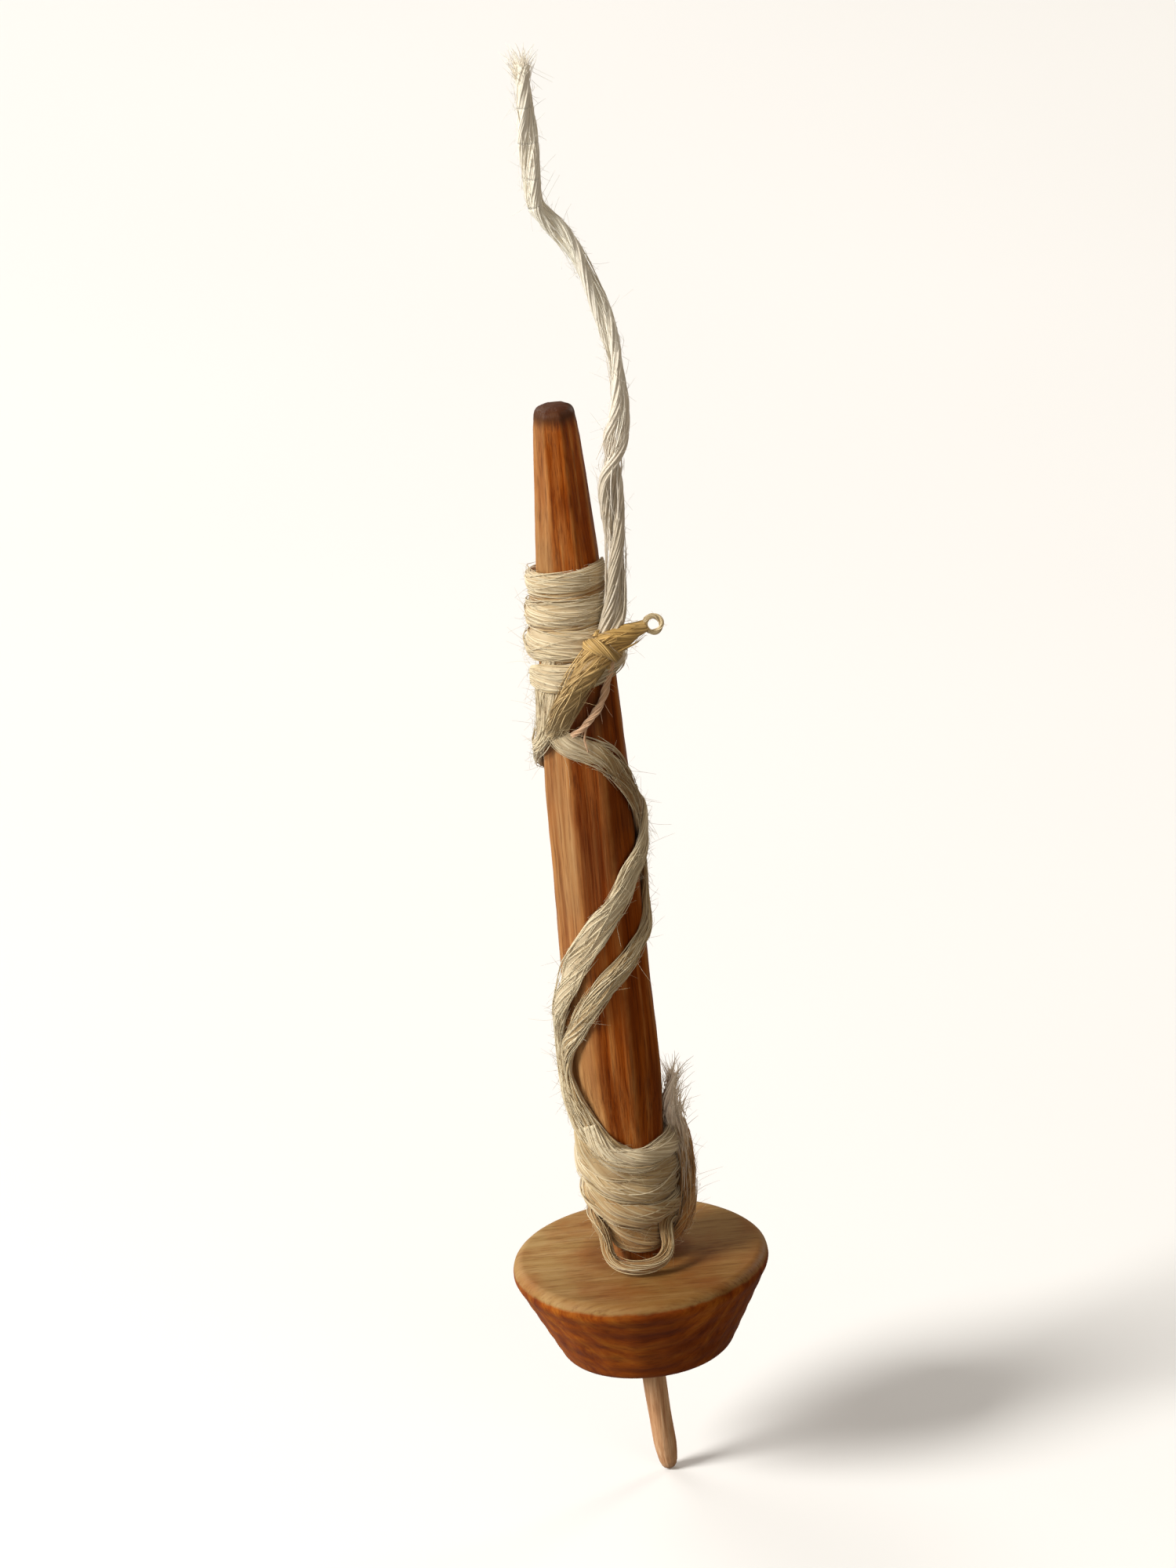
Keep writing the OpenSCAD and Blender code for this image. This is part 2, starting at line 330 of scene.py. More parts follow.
def resample(path, step):
    """Points at even steps along a path, eased, with the distance to each."""
    dist = arc_length(path)
    count = max(6, int(round(dist[-1] / step)) + 1)
    even = np.linspace(0, dist[-1], count)
    points = np.stack([np.interp(even, dist, path[:, i]) for i in range(3)], 1)
    for _ in range(3):
        ease(points)
    return points, even


def evenly(values, count):
    """A value, or values spread evenly along the path, as count numbers."""
    if np.isscalar(values):
        return np.full(count, float(values))
    return np.interp(np.linspace(0, 1, count), np.linspace(0, 1, len(values)), values)


def frames(path, ref):
    """Unit tangent, normal and binormal along a path. ref is one vector, or one a point."""
    tangent = np.gradient(path, axis=0)
    tangent = tangent / (np.linalg.norm(tangent, axis=1, keepdims=True) + 1e-12)
    ref = np.broadcast_to(np.asarray(ref, float), path.shape)
    normal = ref - np.sum(ref * tangent, 1, keepdims=True) * tangent
    normal /= np.linalg.norm(normal, axis=1, keepdims=True) + 1e-12
    return tangent, normal, np.cross(tangent, normal)


def outward_of(path):
    """Away from the shaft's centre, at each point of a path."""
    return np.stack([path[:, 0] - shaft_centre(path[:, 2]), path[:, 1], np.zeros(len(path))], 1)


def raised(points):
    """Points written for a 4.4 mm whorl, moved to the height of this one."""
    return np.asarray(points, float) + [0, 0, RAISE]


def on_shaft(rows, lift, steps=6):
    """Path lying on the wood, from rows of angle (degrees), height and extra lift."""
    rows = catmull(np.asarray(rows, float) + [0, RAISE, 0], steps)
    theta, z = np.radians(rows[:, 0]), rows[:, 1]
    radius = np.maximum.reduce([shaft_surface(theta + d, z)[0] * math.cos(d)
                                for d in (-0.14, -0.07, 0, 0.07, 0.14)])
    radius = np.convolve(np.pad(radius, 2, mode="edge"), np.ones(5) / 5, mode="valid")
    radius = radius + lift + rows[:, 2]
    return np.stack([shaft_centre(z) + radius * np.cos(theta), radius * np.sin(theta), z], 1)


def keyed(path, rows, keys):
    """Values given at some of the rows a path was made from, spread evenly along its length."""
    dist = arc_length(path)
    number, values = np.array(keys, float).T
    at = np.interp(number / (len(rows) - 1) * (len(path) - 1), np.arange(len(path)),
                   dist / dist[-1])
    return np.interp(np.linspace(0, 1, 240), at, values)


def clear_of_wood(line):
    """False for a loose fibre that would enter the shaft or the whorl."""
    x, y, z = line[1:].T
    if (z.min() < FACE_Z + 0.02
            and np.hypot(line[:, 0] - WHORL_X, line[:, 1]).min() < WHORL_RADIUS):
        return False
    if z.min() > TIP_Z:
        return True
    level = np.clip(z, FACE_Z, TIP_Z)
    x = x - shaft_centre(level)
    surface = shaft_surface(np.arctan2(y, x), level)[0]
    return bool(((np.hypot(x, y) > surface - 0.01) | (z > TIP_Z)).all())


# ---------------------------------------------------------------------------------------------
# Yarn
# ---------------------------------------------------------------------------------------------
class Strand:
    """One spun yarn along a path: oval plies, each a core with drifting fibre bundles round it.

    thick and wide are the yarn's half sizes along the normal (outward) and the binormal;
    pitch is the length of one turn of the plies, fibre_pitch that of the bundles;
    spread and loose part the plies, ply is each one's size as a share of the yarn's;
    lanes bundles of radius lane_r cover an arc of each ply; ends scale the two ends.
    """

    def __init__(self, path, thick, wide, seed, ref=outward_of, plies=2, pitch=7.0, phase=0.0,
                 step=0.12, spread=0.30, ply=0.72, loose=0.0, lanes=12, lane_r=0.26,
                 fibre_pitch=5.0, arc=TAU, ends=(1.0, 1.0), tone=0.5, rough=1.0, gold=0.0,
                 edge_tone=0.0):
        self.path, self.dist = resample(np.asarray(path, float), step)
        self.tangent, self.normal, self.binormal = frames(
            self.path, ref(self.path) if callable(ref) else ref)
        self.thick, self.wide, self.gap, self.gold, self.tone = (
            evenly(v, len(self.dist)) for v in (thick, wide, loose, gold, tone))
        self.edge_tone, self.rough, self.seed = edge_tone, rough, seed
        self.shells = []         # (first index, single fibre?, rings, (coords, tone, crest))
        self.rng = np.random.default_rng(seed)
        dist = self.dist
        taper = (np.interp(dist, [0, 0.9], [ends[0], 1])
                 * np.interp(dist[-1] - dist, [0, 0.9], [ends[1], 1]))
        for i in range(plies):
            if plies == 1:
                centre, size = self.path, 1.0
            else:
                angle = (TAU * dist / pitch + phase + TAU * i / plies
                         + 0.5 * wave(dist * 0.6, seed + 7, 3))
                size = ply
                centre = self.beside(slice(None), spread * self.thick + self.gap,
                                     spread * self.wide + self.gap, angle)
            swell = (1 + 0.06 * wave(dist * 0.9, seed + 5 + i, 4)) * taper * size
            a, b = self.thick * swell, self.wide * swell
            self.core(centre, a * 0.93, b * 0.93, i)
            self.bundles(centre, a * 0.92, b * 0.92, lanes, lane_r * size, fibre_pitch, arc)

    def beside(self, part, out_n, out_b, angle, centre=None):
        """Points at an angle round part of the path, or round the given centres."""
        centre = self.path[part] if centre is None else centre
        return (centre + (out_n * np.cos(angle))[:, None] * self.normal[part]
                + (out_b * np.sin(angle))[:, None] * self.binormal[part])

    def core(self, centre, a, b, ply):
        phi = circle(14)
        turned = phi[None] - (TAU * self.dist / 6.0)[:, None]
        lumps = 1 + 0.05 * np.sin(3 * turned + 1.3 * ply) + 0.04 * np.sin(5 * turned + 2.1 + ply)
        rings = rings_round(centre, a[:, None] * lumps, b[:, None] * lumps, self.normal,
                            self.binormal, phi)
        coords = np.stack([np.broadcast_to(self.dist[:, None], turned.shape),
                           np.cos(turned) * 0.3, np.sin(turned) * 0.3], -1)
        coords = coords + [ply * 31.0 + self.seed * 1.3, 0, 0]
        tone = np.broadcast_to((self.tone - 0.12)[:, None], turned.shape)
        # the core's low crest mark is painted shade in the material, as beneath the bundles
        self.shells.append((0, False, rings, (coords, tone, np.full(turned.shape, 0.25))))

    def bundles(self, centre, a, b, lanes, lane_r, pitch, arc):
        """Lanes of fibre bundles, each laid end over end along the ply."""
        rng, dist, rough = self.rng, self.dist, self.rough
        step = dist[1] - dist[0]
        for lane in range(lanes):
            i = 0
            first = True
            while i < len(dist) - 3:
                length = rng.uniform(3.5, 11.0)
                if first:
                    length *= rng.uniform(0.3, 1)
                    first = False
                j = min(len(dist), i + max(5, int(length / step)))
                if len(dist) - j < 6:
                    j = len(dist)
                part = slice(i, j)
                near = dist[part] - dist[i]
                far = near[-1] - near
                seed = int(rng.integers(0, 9999))
                if arc > 6:      # all the way round
                    phi = (TAU * (lane + 0.35 * rng.normal()) / lanes
                           + TAU * dist[part] / pitch + 0.22 * wave(near * 0.9, seed, 2))
                else:
                    phi = (arc * ((lane + 0.5 + 0.25 * rng.normal()) / lanes - 0.5)
                           + 0.10 * wave(near * 0.9, seed, 2))
                lift = 1 + rough * (0.035 * wave(near * 1.4, seed + 1, 3) + 0.02 * rng.normal())
                # each end either stands up a little or tucks in
                end_lift = [0.12 * rough if rng.random() < 0.3 else -0.14 for _ in range(2)]
                radius = (lane_r * np.minimum(self.thick, self.wide)[part]
                          * rng.uniform(0.72, 1.12) * (1 + 0.10 * wave(near * 2.0, seed + 2, 2)))
                for inside, away, up in ((i > 0, near, end_lift[0]),
                                         (j < len(dist), far, end_lift[1])):
                    if inside:
                        lift = lift + np.interp(away, [0, 0.7], [up, 0])
                        radius = radius * np.interp(away, [0, 0.8], [0.30, 1])
                line = self.beside(part, a[part] * lift, b[part] * lift, phi, centre[part])
                # painted shade on the lanes near the yarn's edges, for the grooves between turns
                off = np.abs(((line - self.path[part]) * self.binormal[part]).sum(1))
                shade = self.edge_tone * np.clip((off / self.wide[part] - 0.62) / 0.35, 0, 1)
                self.add_line(i, line, self.normal[part], radius, self.tone[part] + shade,
                              tone_spread=0.10, sides=5)
                if j >= len(dist):
                    break
                i = j - int(0.5 / step)

    def add_line(self, start, line, ref, radius, tone, tone_spread, sides, single=False):
        """One thin round tube of fibre along a line."""
        tone = np.clip(tone + self.rng.normal(0, tone_spread), 0, 1)
        shift = self.rng.random() * 50
        _, normal, binormal = frames(line, ref)
        phi = circle(sides)
        rings = rings_round(line, radius[:, None], radius[:, None], normal, binormal, phi)
        dist = np.arange(len(line)) * 0.12
        coords = np.stack(np.broadcast_arrays(dist[:, None] + shift, np.cos(phi) * 0.1,
                                              np.sin(phi) * 0.1), -1)
        shape = rings.shape[:2]
        # crest is high on the fibre's outer side and low on its inner side, where the material paints shade
        self.shells.append((start, single, rings,
                            (coords, np.broadcast_to(np.reshape(tone, (-1, 1)), shape),
                             np.broadcast_to(0.5 + 0.25 * np.cos(phi), shape))))

    def wisps(self, count, reach, radius=(0.012, 0.032), length=(2, 6), stray=0.10, tone=0.6,
              arc=math.pi):
        """Loose fibre bundles that wander over and beside the yarn."""
        rng, dist = self.rng, self.dist
        step = dist[1] - dist[0]
        for _ in range(count):
            full = min(rng.uniform(*length), dist[-1] * 0.98)
            n = max(6, int(full / step))
            i = int(rng.integers(0, max(1, len(dist) - n)))
            part = slice(i, i + n)
            near = dist[part] - dist[i]
            seed = int(rng.integers(0, 9999))
            phi = rng.uniform(-arc, arc) + 0.7 * wave(near * 0.7, seed, 2)
            out = (rng.uniform(*reach) + stray * wave(near * 0.8, seed + 1, 2)
                   / np.minimum(self.thick, self.wide)[part].mean() * 0.5)
            out = out + stray * 1.5 * np.interp(near, [0, 0.5, full - 0.5, full], [1, 0, 0, 1])
            line = self.beside(part, (self.thick[part] + self.gap[part]) * out,
                               (self.wide[part] + self.gap[part]) * out, phi)
            if not clear_of_wood(line):
                continue
            taper = np.interp(np.linspace(0, 1, len(near)), [0, 0.25, 0.75, 1], [0.25, 1, 1, 0.2])
            self.add_line(i, line, self.normal[part], rng.uniform(*radius) * taper,
                          0.35 * tone + 0.65 * self.tone[part], tone_spread=0.2, sides=4)

    def fuzz(self, per_mm, length=(0.25, 0.95), radius=0.008, arc=math.pi, tone=0.75):
        """Single fibres that stand off the yarn."""
        rng = self.rng
        u = np.linspace(0, 1, 6)
        for _ in range(int(per_mm * self.dist[-1])):
            i = int(rng.integers(0, len(self.dist)))
            angle = rng.uniform(-arc, arc)
            normal, binormal, tangent = self.normal[i], self.binormal[i], self.tangent[i]
            out = math.cos(angle) * normal + math.sin(angle) * binormal
            side = np.cross(tangent, out)
            full = rng.uniform(*length) * (0.5 + 0.9 * rng.random() ** 2)
            way = (out * rng.uniform(0.15, 0.9)
                   + tangent * (1 if rng.random() < 0.5 else -1) * 0.8 * rng.uniform(0.5, 1.6)
                   + side * rng.normal(0, 0.35))
            way /= np.linalg.norm(way)
            base = (self.path[i] + ((self.thick[i] + self.gap[i]) * math.cos(angle)) * normal
                    + ((self.wide[i] + self.gap[i]) * math.sin(angle)) * binormal
                    - out * 0.10 * self.thick[i])
            line = (base + np.outer(u, way) * full
                    + np.outer(u ** 2, side) * rng.normal(0, 0.45) * full
                    + np.outer(u ** 2, out) * rng.normal(-0.15, 0.22) * full)
            if not clear_of_wood(line) or self.over_wood(line[-1], i):
                continue
            self.add_line(i, line, side + 0.001, radius * (1 - 0.6 * u),
                          0.35 * tone + 0.65 * self.tone[i], tone_spread=0.12, sides=3,
                          single=True)

    def over_wood(self, tip, i):
        """True where a fibre's tip hangs just above bare wood, beside the yarn."""
        if not FACE_Z < tip[2] < TIP_Z - 0.3:
            return False
        z = np.array([tip[2]])
        x = tip[0] - shaft_centre(z)[0]
        surface = shaft_surface(np.array([math.atan2(tip[1], x)]), z)[0][0]
        beside = abs(np.dot(tip - self.path[i], self.binormal[i])) > self.wide[i]
        return beside and math.hypot(x, tip[1]) - surface < 0.5

    def into(self, part, first=0, end=None):
        """Add the shells, or the lengths of them between two points of the path."""
        last = len(self.dist) - 1
        end = last if end is None else end
        for start, single, rings, marks in self.shells:
            if single:
                if not first <= start <= end - (end < last):
                    continue
                gold = self.gold[start]
            else:
                a = max(first, start) - start
                b = min(end, start + len(rings) - 1) - start
                if b - a < 1:
                    continue
                gold = self.gold[start + a:start + b + 1, None]
                rings, *marks = (x[a:b + 1] for x in (rings, *marks))
            coords, tone, crest = marks
            gold = np.broadcast_to(gold, rings.shape[:2])
            part.shell(*capped(rings, rings[0].mean(0), rings[-1].mean(0)),
                       yarn_co=with_ends(coords), tone=with_ends(tone), crest=with_ends(crest),
                       gold=with_ends(gold))


def tuft(part, at, along, wide, count, seed, reach, back, radius, splay, tone=0.6):
    """A frayed end: loose fibres that part from one another."""
    rng = np.random.default_rng(seed)
    axis = np.asarray(along, float)
    axis /= np.linalg.norm(axis)
    x = np.cross(axis, (0.2, 1, 0.1))
    x /= np.linalg.norm(x)
    y = np.cross(axis, x)
    u = np.linspace(0, 1, 9)
    for i in range(count):
        angle = rng.random() * TAU
        off = wide * math.sqrt(rng.random())
        out = math.cos(angle) * x + math.sin(angle) * y
        length = rng.uniform(*reach) + 0.6
        start = at + out * off * 0.8 - axis * rng.uniform(*back)
        straight = axis * length + out * rng.uniform(0, splay) + x * rng.normal(0, splay * 0.4)
        bend = x * rng.normal(0, splay * 0.7) + y * rng.normal(0, splay * 0.7)
        line = start + np.outer(u, straight) + np.outer(u ** 2, bend)
        if not clear_of_wood(line):
            continue
        _, normal, binormal = frames(line, y + 0.01)
        size = (rng.uniform(*radius) * (1 - 0.75 * u))[:, None]
        rings = rings_round(line, size, size, normal, binormal, circle(4))
        points, quads, tris = capped(rings, line[0], line[-1])
        n = len(points)
        part.shell(points, quads, tris, yarn_co=np.tile([i * 0.9, 0.1, 0.2], (n, 1)),
                   tone=np.full(n, np.clip(tone + rng.normal(0, 0.2), 0, 1)),
                   crest=np.full(n, 0.7), gold=np.zeros(n))


# ---------------------------------------------------------------------------------------------
# Materials
# ---------------------------------------------------------------------------------------------
class Nodes:
    """A material's node tree, with short ways to add the nodes used here."""

    def __init__(self, name):
        self.material = bpy.data.materials.new(name)
        self.material.use_nodes = True
        self.tree = self.material.node_tree
        self.tree.nodes.clear()
        output = self.node("ShaderNodeOutputMaterial")
        self.bsdf = self.node("ShaderNodeBsdfPrincipled")
        self.tree.links.new(self.bsdf.outputs[0], output.inputs[0])

    def node(self, kind, **settings):
        node = self.tree.nodes.new(kind)
        for key, value in settings.items():
            setattr(node, key, value)
        return node

    def put(self, socket, value):
        if isinstance(value, bpy.types.NodeSocket):
            self.tree.links.new(value, socket)
        elif isinstance(value, (tuple, list)) and len(value) == 3 and socket.type == "RGBA":
            socket.default_value = (*value, 1)
        else:
            socket.default_value = value

    def attr(self, name, output="Fac"):
        return self.node("ShaderNodeAttribute", attribute_name=name).outputs[output]

    def noise(self, stretch, scale=1.0, detail=4, rough=0.55, dist=0.0, vec=None):
        """Noise whose stretch is per millimetre of the object, or per unit of the vector vec."""
        if vec is None:
            vec = self.node("ShaderNodeTexCoord").outputs["Object"]
            stretch = [1000 * s for s in stretch]
        mapping = self.node("ShaderNodeMapping")
        self.put(mapping.inputs["Vector"], vec)
        mapping.inputs["Scale"].default_value = stretch
        noise = self.node("ShaderNodeTexNoise")
        self.put(noise.inputs["Vector"], mapping.outputs[0])
        noise.inputs["Scale"].default_value = scale
        noise.inputs["Detail"].default_value = detail
        noise.inputs["Roughness"].default_value = rough
        noise.inputs["Distortion"].default_value = dist
        return noise.outputs["Fac"]

    def ramp(self, fac, *stops):
        """Colour ramp from stops of (position, linear colour)."""
        node = self.node("ShaderNodeValToRGB")
        elements = node.color_ramp.elements
        while len(elements) < len(stops):
            elements.new(0.5)
        for element, (position, colour) in zip(elements, stops):
            element.position = position
            element.color = (*colour, 1)
        self.put(node.inputs["Fac"], fac)
        return node.outputs["Color"]

    def fade(self, fac, low, high, start=0, end=1):
        """Grey ramp from start at the position low to end at high."""
        return self.ramp(fac, (low, (start,) * 3), (high, (end,) * 3))

    def math(self, operation, a, b, clamp=False):
        node = self.node("ShaderNodeMath", operation=operation)
        node.use_clamp = clamp
        for socket, value in zip(node.inputs, (a, b, 0.0)):
            self.put(socket, value)
        return node.outputs[0]

    def times(self, a, b, clamp=False):
        return self.math("MULTIPLY", a, b, clamp)

    def plus(self, a, b, clamp=False):
        return self.math("ADD", a, b, clamp)

    def mix(self, amount, base, over, blend="MIX"):
        node = self.node("ShaderNodeMix", data_type="RGBA", blend_type=blend)
        self.put(node.inputs["Factor"], amount)
        colours = [i for i in node.inputs if i.type == "RGBA"]
        self.put(colours[0], base)
        self.put(colours[1], over)
        return [o for o in node.outputs if o.type == "RGBA"][0]

    def bump(self, height, strength, depth_mm, normal=None):
        node = self.node("ShaderNodeBump")
        self.put(node.inputs["Height"], height)
        node.inputs["Strength"].default_value = strength
        node.inputs["Distance"].default_value = depth_mm * MM
        if normal is not None:
            self.put(node.inputs["Normal"], normal)
        return node.outputs[0]

    def finish(self, colour, rough, normal=None, coat=0.0, coat_rough=0.3, sheen=0.0, spec=0.5):
        inputs = self.bsdf.inputs
        self.put(inputs["Base Color"], colour)
        self.put(inputs["Roughness"], rough)
        self.put(inputs["Specular IOR Level"], spec)
        if normal is not None:
            self.put(inputs["Normal"], normal)
        inputs["Coat Weight"].default_value = coat
        inputs["Coat Roughness"].default_value = coat_rough
        inputs["Sheen Weight"].default_value = sheen
        inputs["Sheen Roughness"].default_value = 0.5
        return self.material


def lin(*rgb):
    """Linear colour of an sRGB one given from 0 to 255."""
    return tuple((c / 255 / 12.92) if c / 255 <= 0.04045 else ((c / 255 + 0.055) / 1.055) ** 2.4
                 for c in rgb)


def shaft_material():
    k = Nodes("stained_whittled_wood")
    broad = k.noise((0.9, 0.9, 0.085), detail=5, rough=0.6, dist=0.4)
    streak = k.noise((3.4, 3.4, 0.10), detail=6, rough=0.65, dist=0.25)
    fine = k.noise((13.0, 13.0, 0.42), detail=5, rough=0.6)
    grain = k.plus(k.times(broad, 0.45), k.times(streak, 0.55))
    colour = k.ramp(grain, (0.30, lin(88, 33, 2)), (0.44, lin(128, 57, 4)),
                    (0.56, lin(156, 77, 8)), (0.70, lin(186, 112, 32)))
    pores = k.ramp(fine, (0.36, (0.35, 0.24, 0.17)), (0.50, (1, 1, 1)))
    colour = k.mix(0.75, colour, pores, "MULTIPLY")
    blotch = k.noise((0.35, 0.35, 0.22), detail=3, rough=0.5)
    colour = k.mix(k.times(k.fade(blotch, 0.48, 0.66), 0.55), colour, lin(100, 40, 8))
    # flats cut after the stain are paler, and the flats facing the light carry a painted highlight
    tan = k.ramp(grain, (0.30, lin(136, 98, 54)), (0.52, lin(178, 142, 92)),
                 (0.70, lin(200, 168, 120)))
    tan = k.mix(0.5, tan, pores, "MULTIPLY")
    ragged = k.plus(k.attr("pale"), k.times(k.math("SUBTRACT", streak, 0.5), 0.9), clamp=True)
    colour = k.mix(k.times(ragged, 0.85), colour, tan)
    # knife edges rubbed paler; darker at the tip, with painted shade at the foot and in patches beside the thread
    # and down the right side
    wear = k.times(k.attr("edge"), k.fade(k.noise((1.2, 1.2, 0.5)), 0.35, 0.62, start=0.1))
    colour = k.mix(k.times(wear, 0.30), colour, lin(204, 146, 80))
    colour = k.mix(k.attr("dark"), colour, lin(62, 34, 20))
    rough = k.fade(streak, 0.3, 0.7, start=0.34, end=0.52)
    normal = k.bump(fine, strength=0.55, depth_mm=0.035)
    normal = k.bump(streak, strength=0.5, depth_mm=0.09, normal=normal)
    return k.finish(colour, rough, normal, coat=0.03, coat_rough=0.35, spec=0.10)


def whorl_material():
    k = Nodes("sanded_and_stained_whorl")
    grain = k.noise((0.22, 2.6, 0.9), detail=6, rough=0.62, dist=0.35)
    fine = k.noise((0.9, 9.0, 4.0), detail=5, rough=0.6)
    cloud = k.noise((0.33, 0.33, 0.5))
    top = k.ramp(grain, (0.28, lin(145, 112, 62)), (0.50, lin(160, 128, 79)),
                 (0.72, lin(174, 144, 98)))
    top = k.mix(k.times(k.fade(cloud, 0.44, 0.64), 0.60), top, lin(142, 82, 30))
    side = k.ramp(grain, (0.28, lin(112, 45, 3)), (0.50, lin(150, 73, 10)),
                  (0.72, lin(180, 106, 30)))
    side = k.mix(k.times(k.fade(cloud, 0.40, 0.62), 0.5), side, lin(88, 30, 2))
    pores = k.ramp(fine, (0.34, (0.50, 0.38, 0.28)), (0.50, (1, 1, 1)))
    # the sanded top meets the stained side along a ragged line
    ragged = k.plus(k.attr("side"),
                    k.times(k.math("SUBTRACT", k.noise((1.5, 1.5, 1.5)), 0.5), 0.5))
    colour = k.mix(k.fade(ragged, 0.38, 0.62), top, side)
    colour = k.mix(0.6, colour, pores, "MULTIPLY")
    # the rim worn paler, partly a painted highlight
    colour = k.mix(k.times(k.attr("edge"), 0.26), colour, lin(176, 132, 82))
    # painted shade from the dark mark, warmer where it is deep: round the cop, towards the front and right, and in
    # the bore; also darker low on the side and underneath
    colour = k.mix(k.attr("dark"), colour, lin(64, 25, 5))
    colour = k.mix(k.times(k.attr("dark"), 1.6, clamp=True), colour, (0.86, 0.63, 0.32),
                   "MULTIPLY")
    rough = k.fade(grain, 0.3, 0.7, start=0.46, end=0.62)
    normal = k.bump(fine, strength=0.4, depth_mm=0.03)
    normal = k.bump(grain, strength=0.35, depth_mm=0.08, normal=normal)
    return k.finish(colour, rough, normal, coat_rough=0.4, spec=0.10)


def peg_material():
    k = Nodes("bare_split_peg")
    streak = k.noise((5.0, 5.0, 0.28), detail=6, rough=0.65, dist=0.2)
    fine = k.noise((18, 18, 1.0), rough=0.6)
    colour = k.ramp(streak, (0.30, lin(158, 108, 68)), (0.50, lin(194, 146, 104)),
                    (0.70, lin(216, 176, 136)))
    pores = k.ramp(fine, (0.35, (0.55, 0.42, 0.32)), (0.5, (1, 1, 1)))
    colour = k.mix(0.5, colour, pores, "MULTIPLY")
    # painted shade just under the whorl, and darker towards the tip
    colour = k.mix(k.attr("dark"), colour, lin(120, 70, 38))
    return k.finish(colour, 0.62, k.bump(streak, strength=0.6, depth_mm=0.06), spec=0.35)


def yarn_material(name, pale, mid, deep, sheen, rough=0.9, coat=0.0, gold=None, gold_deep=None):
    k = Nodes(name)
    coords = k.attr("yarn_co", "Vector")
    fibre = k.noise((0.45, 8.0, 8.0), scale=1.6, rough=0.6, dist=0.1, vec=coords)
    hair = k.noise((1.4, 26.0, 26.0), scale=1.4, rough=0.6, dist=0.1, vec=coords)
    cloud = k.noise((0.55, 0.55, 0.55), rough=0.6)
    # tone is the fibres' own paleness, set low in places as painted shade
    tone = k.plus(k.times(k.attr("tone"), 0.62), k.times(fibre, 0.38))
    palest = tuple(min(1, c * 1.14) for c in pale)
    colour = k.ramp(tone, (0.16, deep), (0.36, mid), (0.56, pale), (0.84, palest))
    colour = k.mix(k.times(k.fade(hair, 0.38, 0.54, start=1, end=0), 0.28), colour, mid)
    colour = k.mix(k.times(k.fade(cloud, 0.45, 0.72), 0.40), colour, mid)
    # painted shade where the crest mark is low: on the inner sides of the fibres and on the cores beneath them
    low = k.fade(k.attr("crest"), 0.22, 0.58, start=1, end=0)
    colour = k.mix(k.times(low, 0.34), colour, deep)
    if gold:
        tint = k.ramp(tone, (0.22, gold_deep), (0.60, gold))
        tint = k.mix(k.times(low, 0.5), tint, gold_deep)
        colour = k.mix(k.attr("gold"), colour, tint)
    normal = k.bump(fibre, strength=0.5, depth_mm=0.03)
    normal = k.bump(hair, strength=0.4, depth_mm=0.014, normal=normal)
    return k.finish(colour, rough, normal, sheen=sheen, spec=0.2, coat=coat, coat_rough=0.35)


MAT_SHAFT, MAT_WHORL, MAT_PEG = shaft_material(), whorl_material(), peg_material()
# Each deep colour is also the painted shade, in the yarn's creases and along lengths given a low tone.
MAT_WOOL = yarn_material("undyed_wool", pale=lin(213, 199, 168), mid=lin(184, 161, 120),
                         deep=lin(136, 96, 48), sheen=0.25)
MAT_LEADER = yarn_material("undyed_wool_leader", pale=lin(246, 237, 222),
                           mid=lin(220, 208, 188), deep=lin(168, 153, 128), sheen=0.35)
MAT_GOLD = yarn_material("glued_golden_yarn", pale=lin(214, 197, 160), mid=lin(186, 164, 124),
                         deep=lin(126, 98, 60), sheen=0.1, rough=0.6, coat=0.2,
                         gold=lin(218, 178, 106), gold_deep=lin(138, 106, 52))
MAT_TAIL = yarn_material("undyed_wool_tail", pale=lin(238, 228, 212), mid=lin(180, 146, 100),
                         deep=lin(158, 106, 52), sheen=0.15)
MAT_THREAD = yarn_material("thin_pinkish_thread", pale=lin(230, 194, 160),
                           mid=lin(206, 164, 126), deep=lin(146, 104, 72), sheen=0.15,
                           rough=0.75)

# ---------------------------------------------------------------------------------------------
# Wood
# ---------------------------------------------------------------------------------------------
# blunt upper tip of the shaft: share of the last ring's radius, height above that ring
TIP_ROUNDING = ((0.985, 0.10), (0.955, 0.19), (0.91, 0.27), (0.85, 0.335), (0.77, 0.39),
                (0.66, 0.43), (0.52, 0.46), (0.36, 0.475), (0.18, 0.48))
# painted shade on the shaft, beside the binding thread and down its shaded right side: angle, height, half width
# (radians), half height, strength
SHADE_PATCHES = ((298, 30.2, 0.42, 1.1, 0.85), (262, 30.0, 0.30, 0.7, 0.5),
           (330, 26.0, 0.6, 3.5, 0.30), (335, 13.0, 0.5, 3.0, 0.25))


def angle_from(theta, angle):
    """Signed difference between angles, within half a turn."""
    return (theta - angle + math.pi) % TAU - math.pi


def knife_tears(theta, z):
    """Depth of the torn fibre lines left by the knife."""
    tear = np.zeros_like(z)
    rng = np.random.default_rng(7)
    for _ in range(70):
        angle, middle = rng.random() * TAU, rng.uniform(FACE_Z + 1, TIP_Z - 1)
        half_length = rng.uniform(0.6, 3.2)
        depth, width = rng.uniform(0.006, 0.022), rng.uniform(0.03, 0.07)
        across = angle_from(theta, angle + 0.03 * np.sin(z))
        tear += (depth * np.exp(-(across / width) ** 2)
                 * np.clip(1 - ((z - middle) / half_length) ** 2, 0, 1))
    return tear


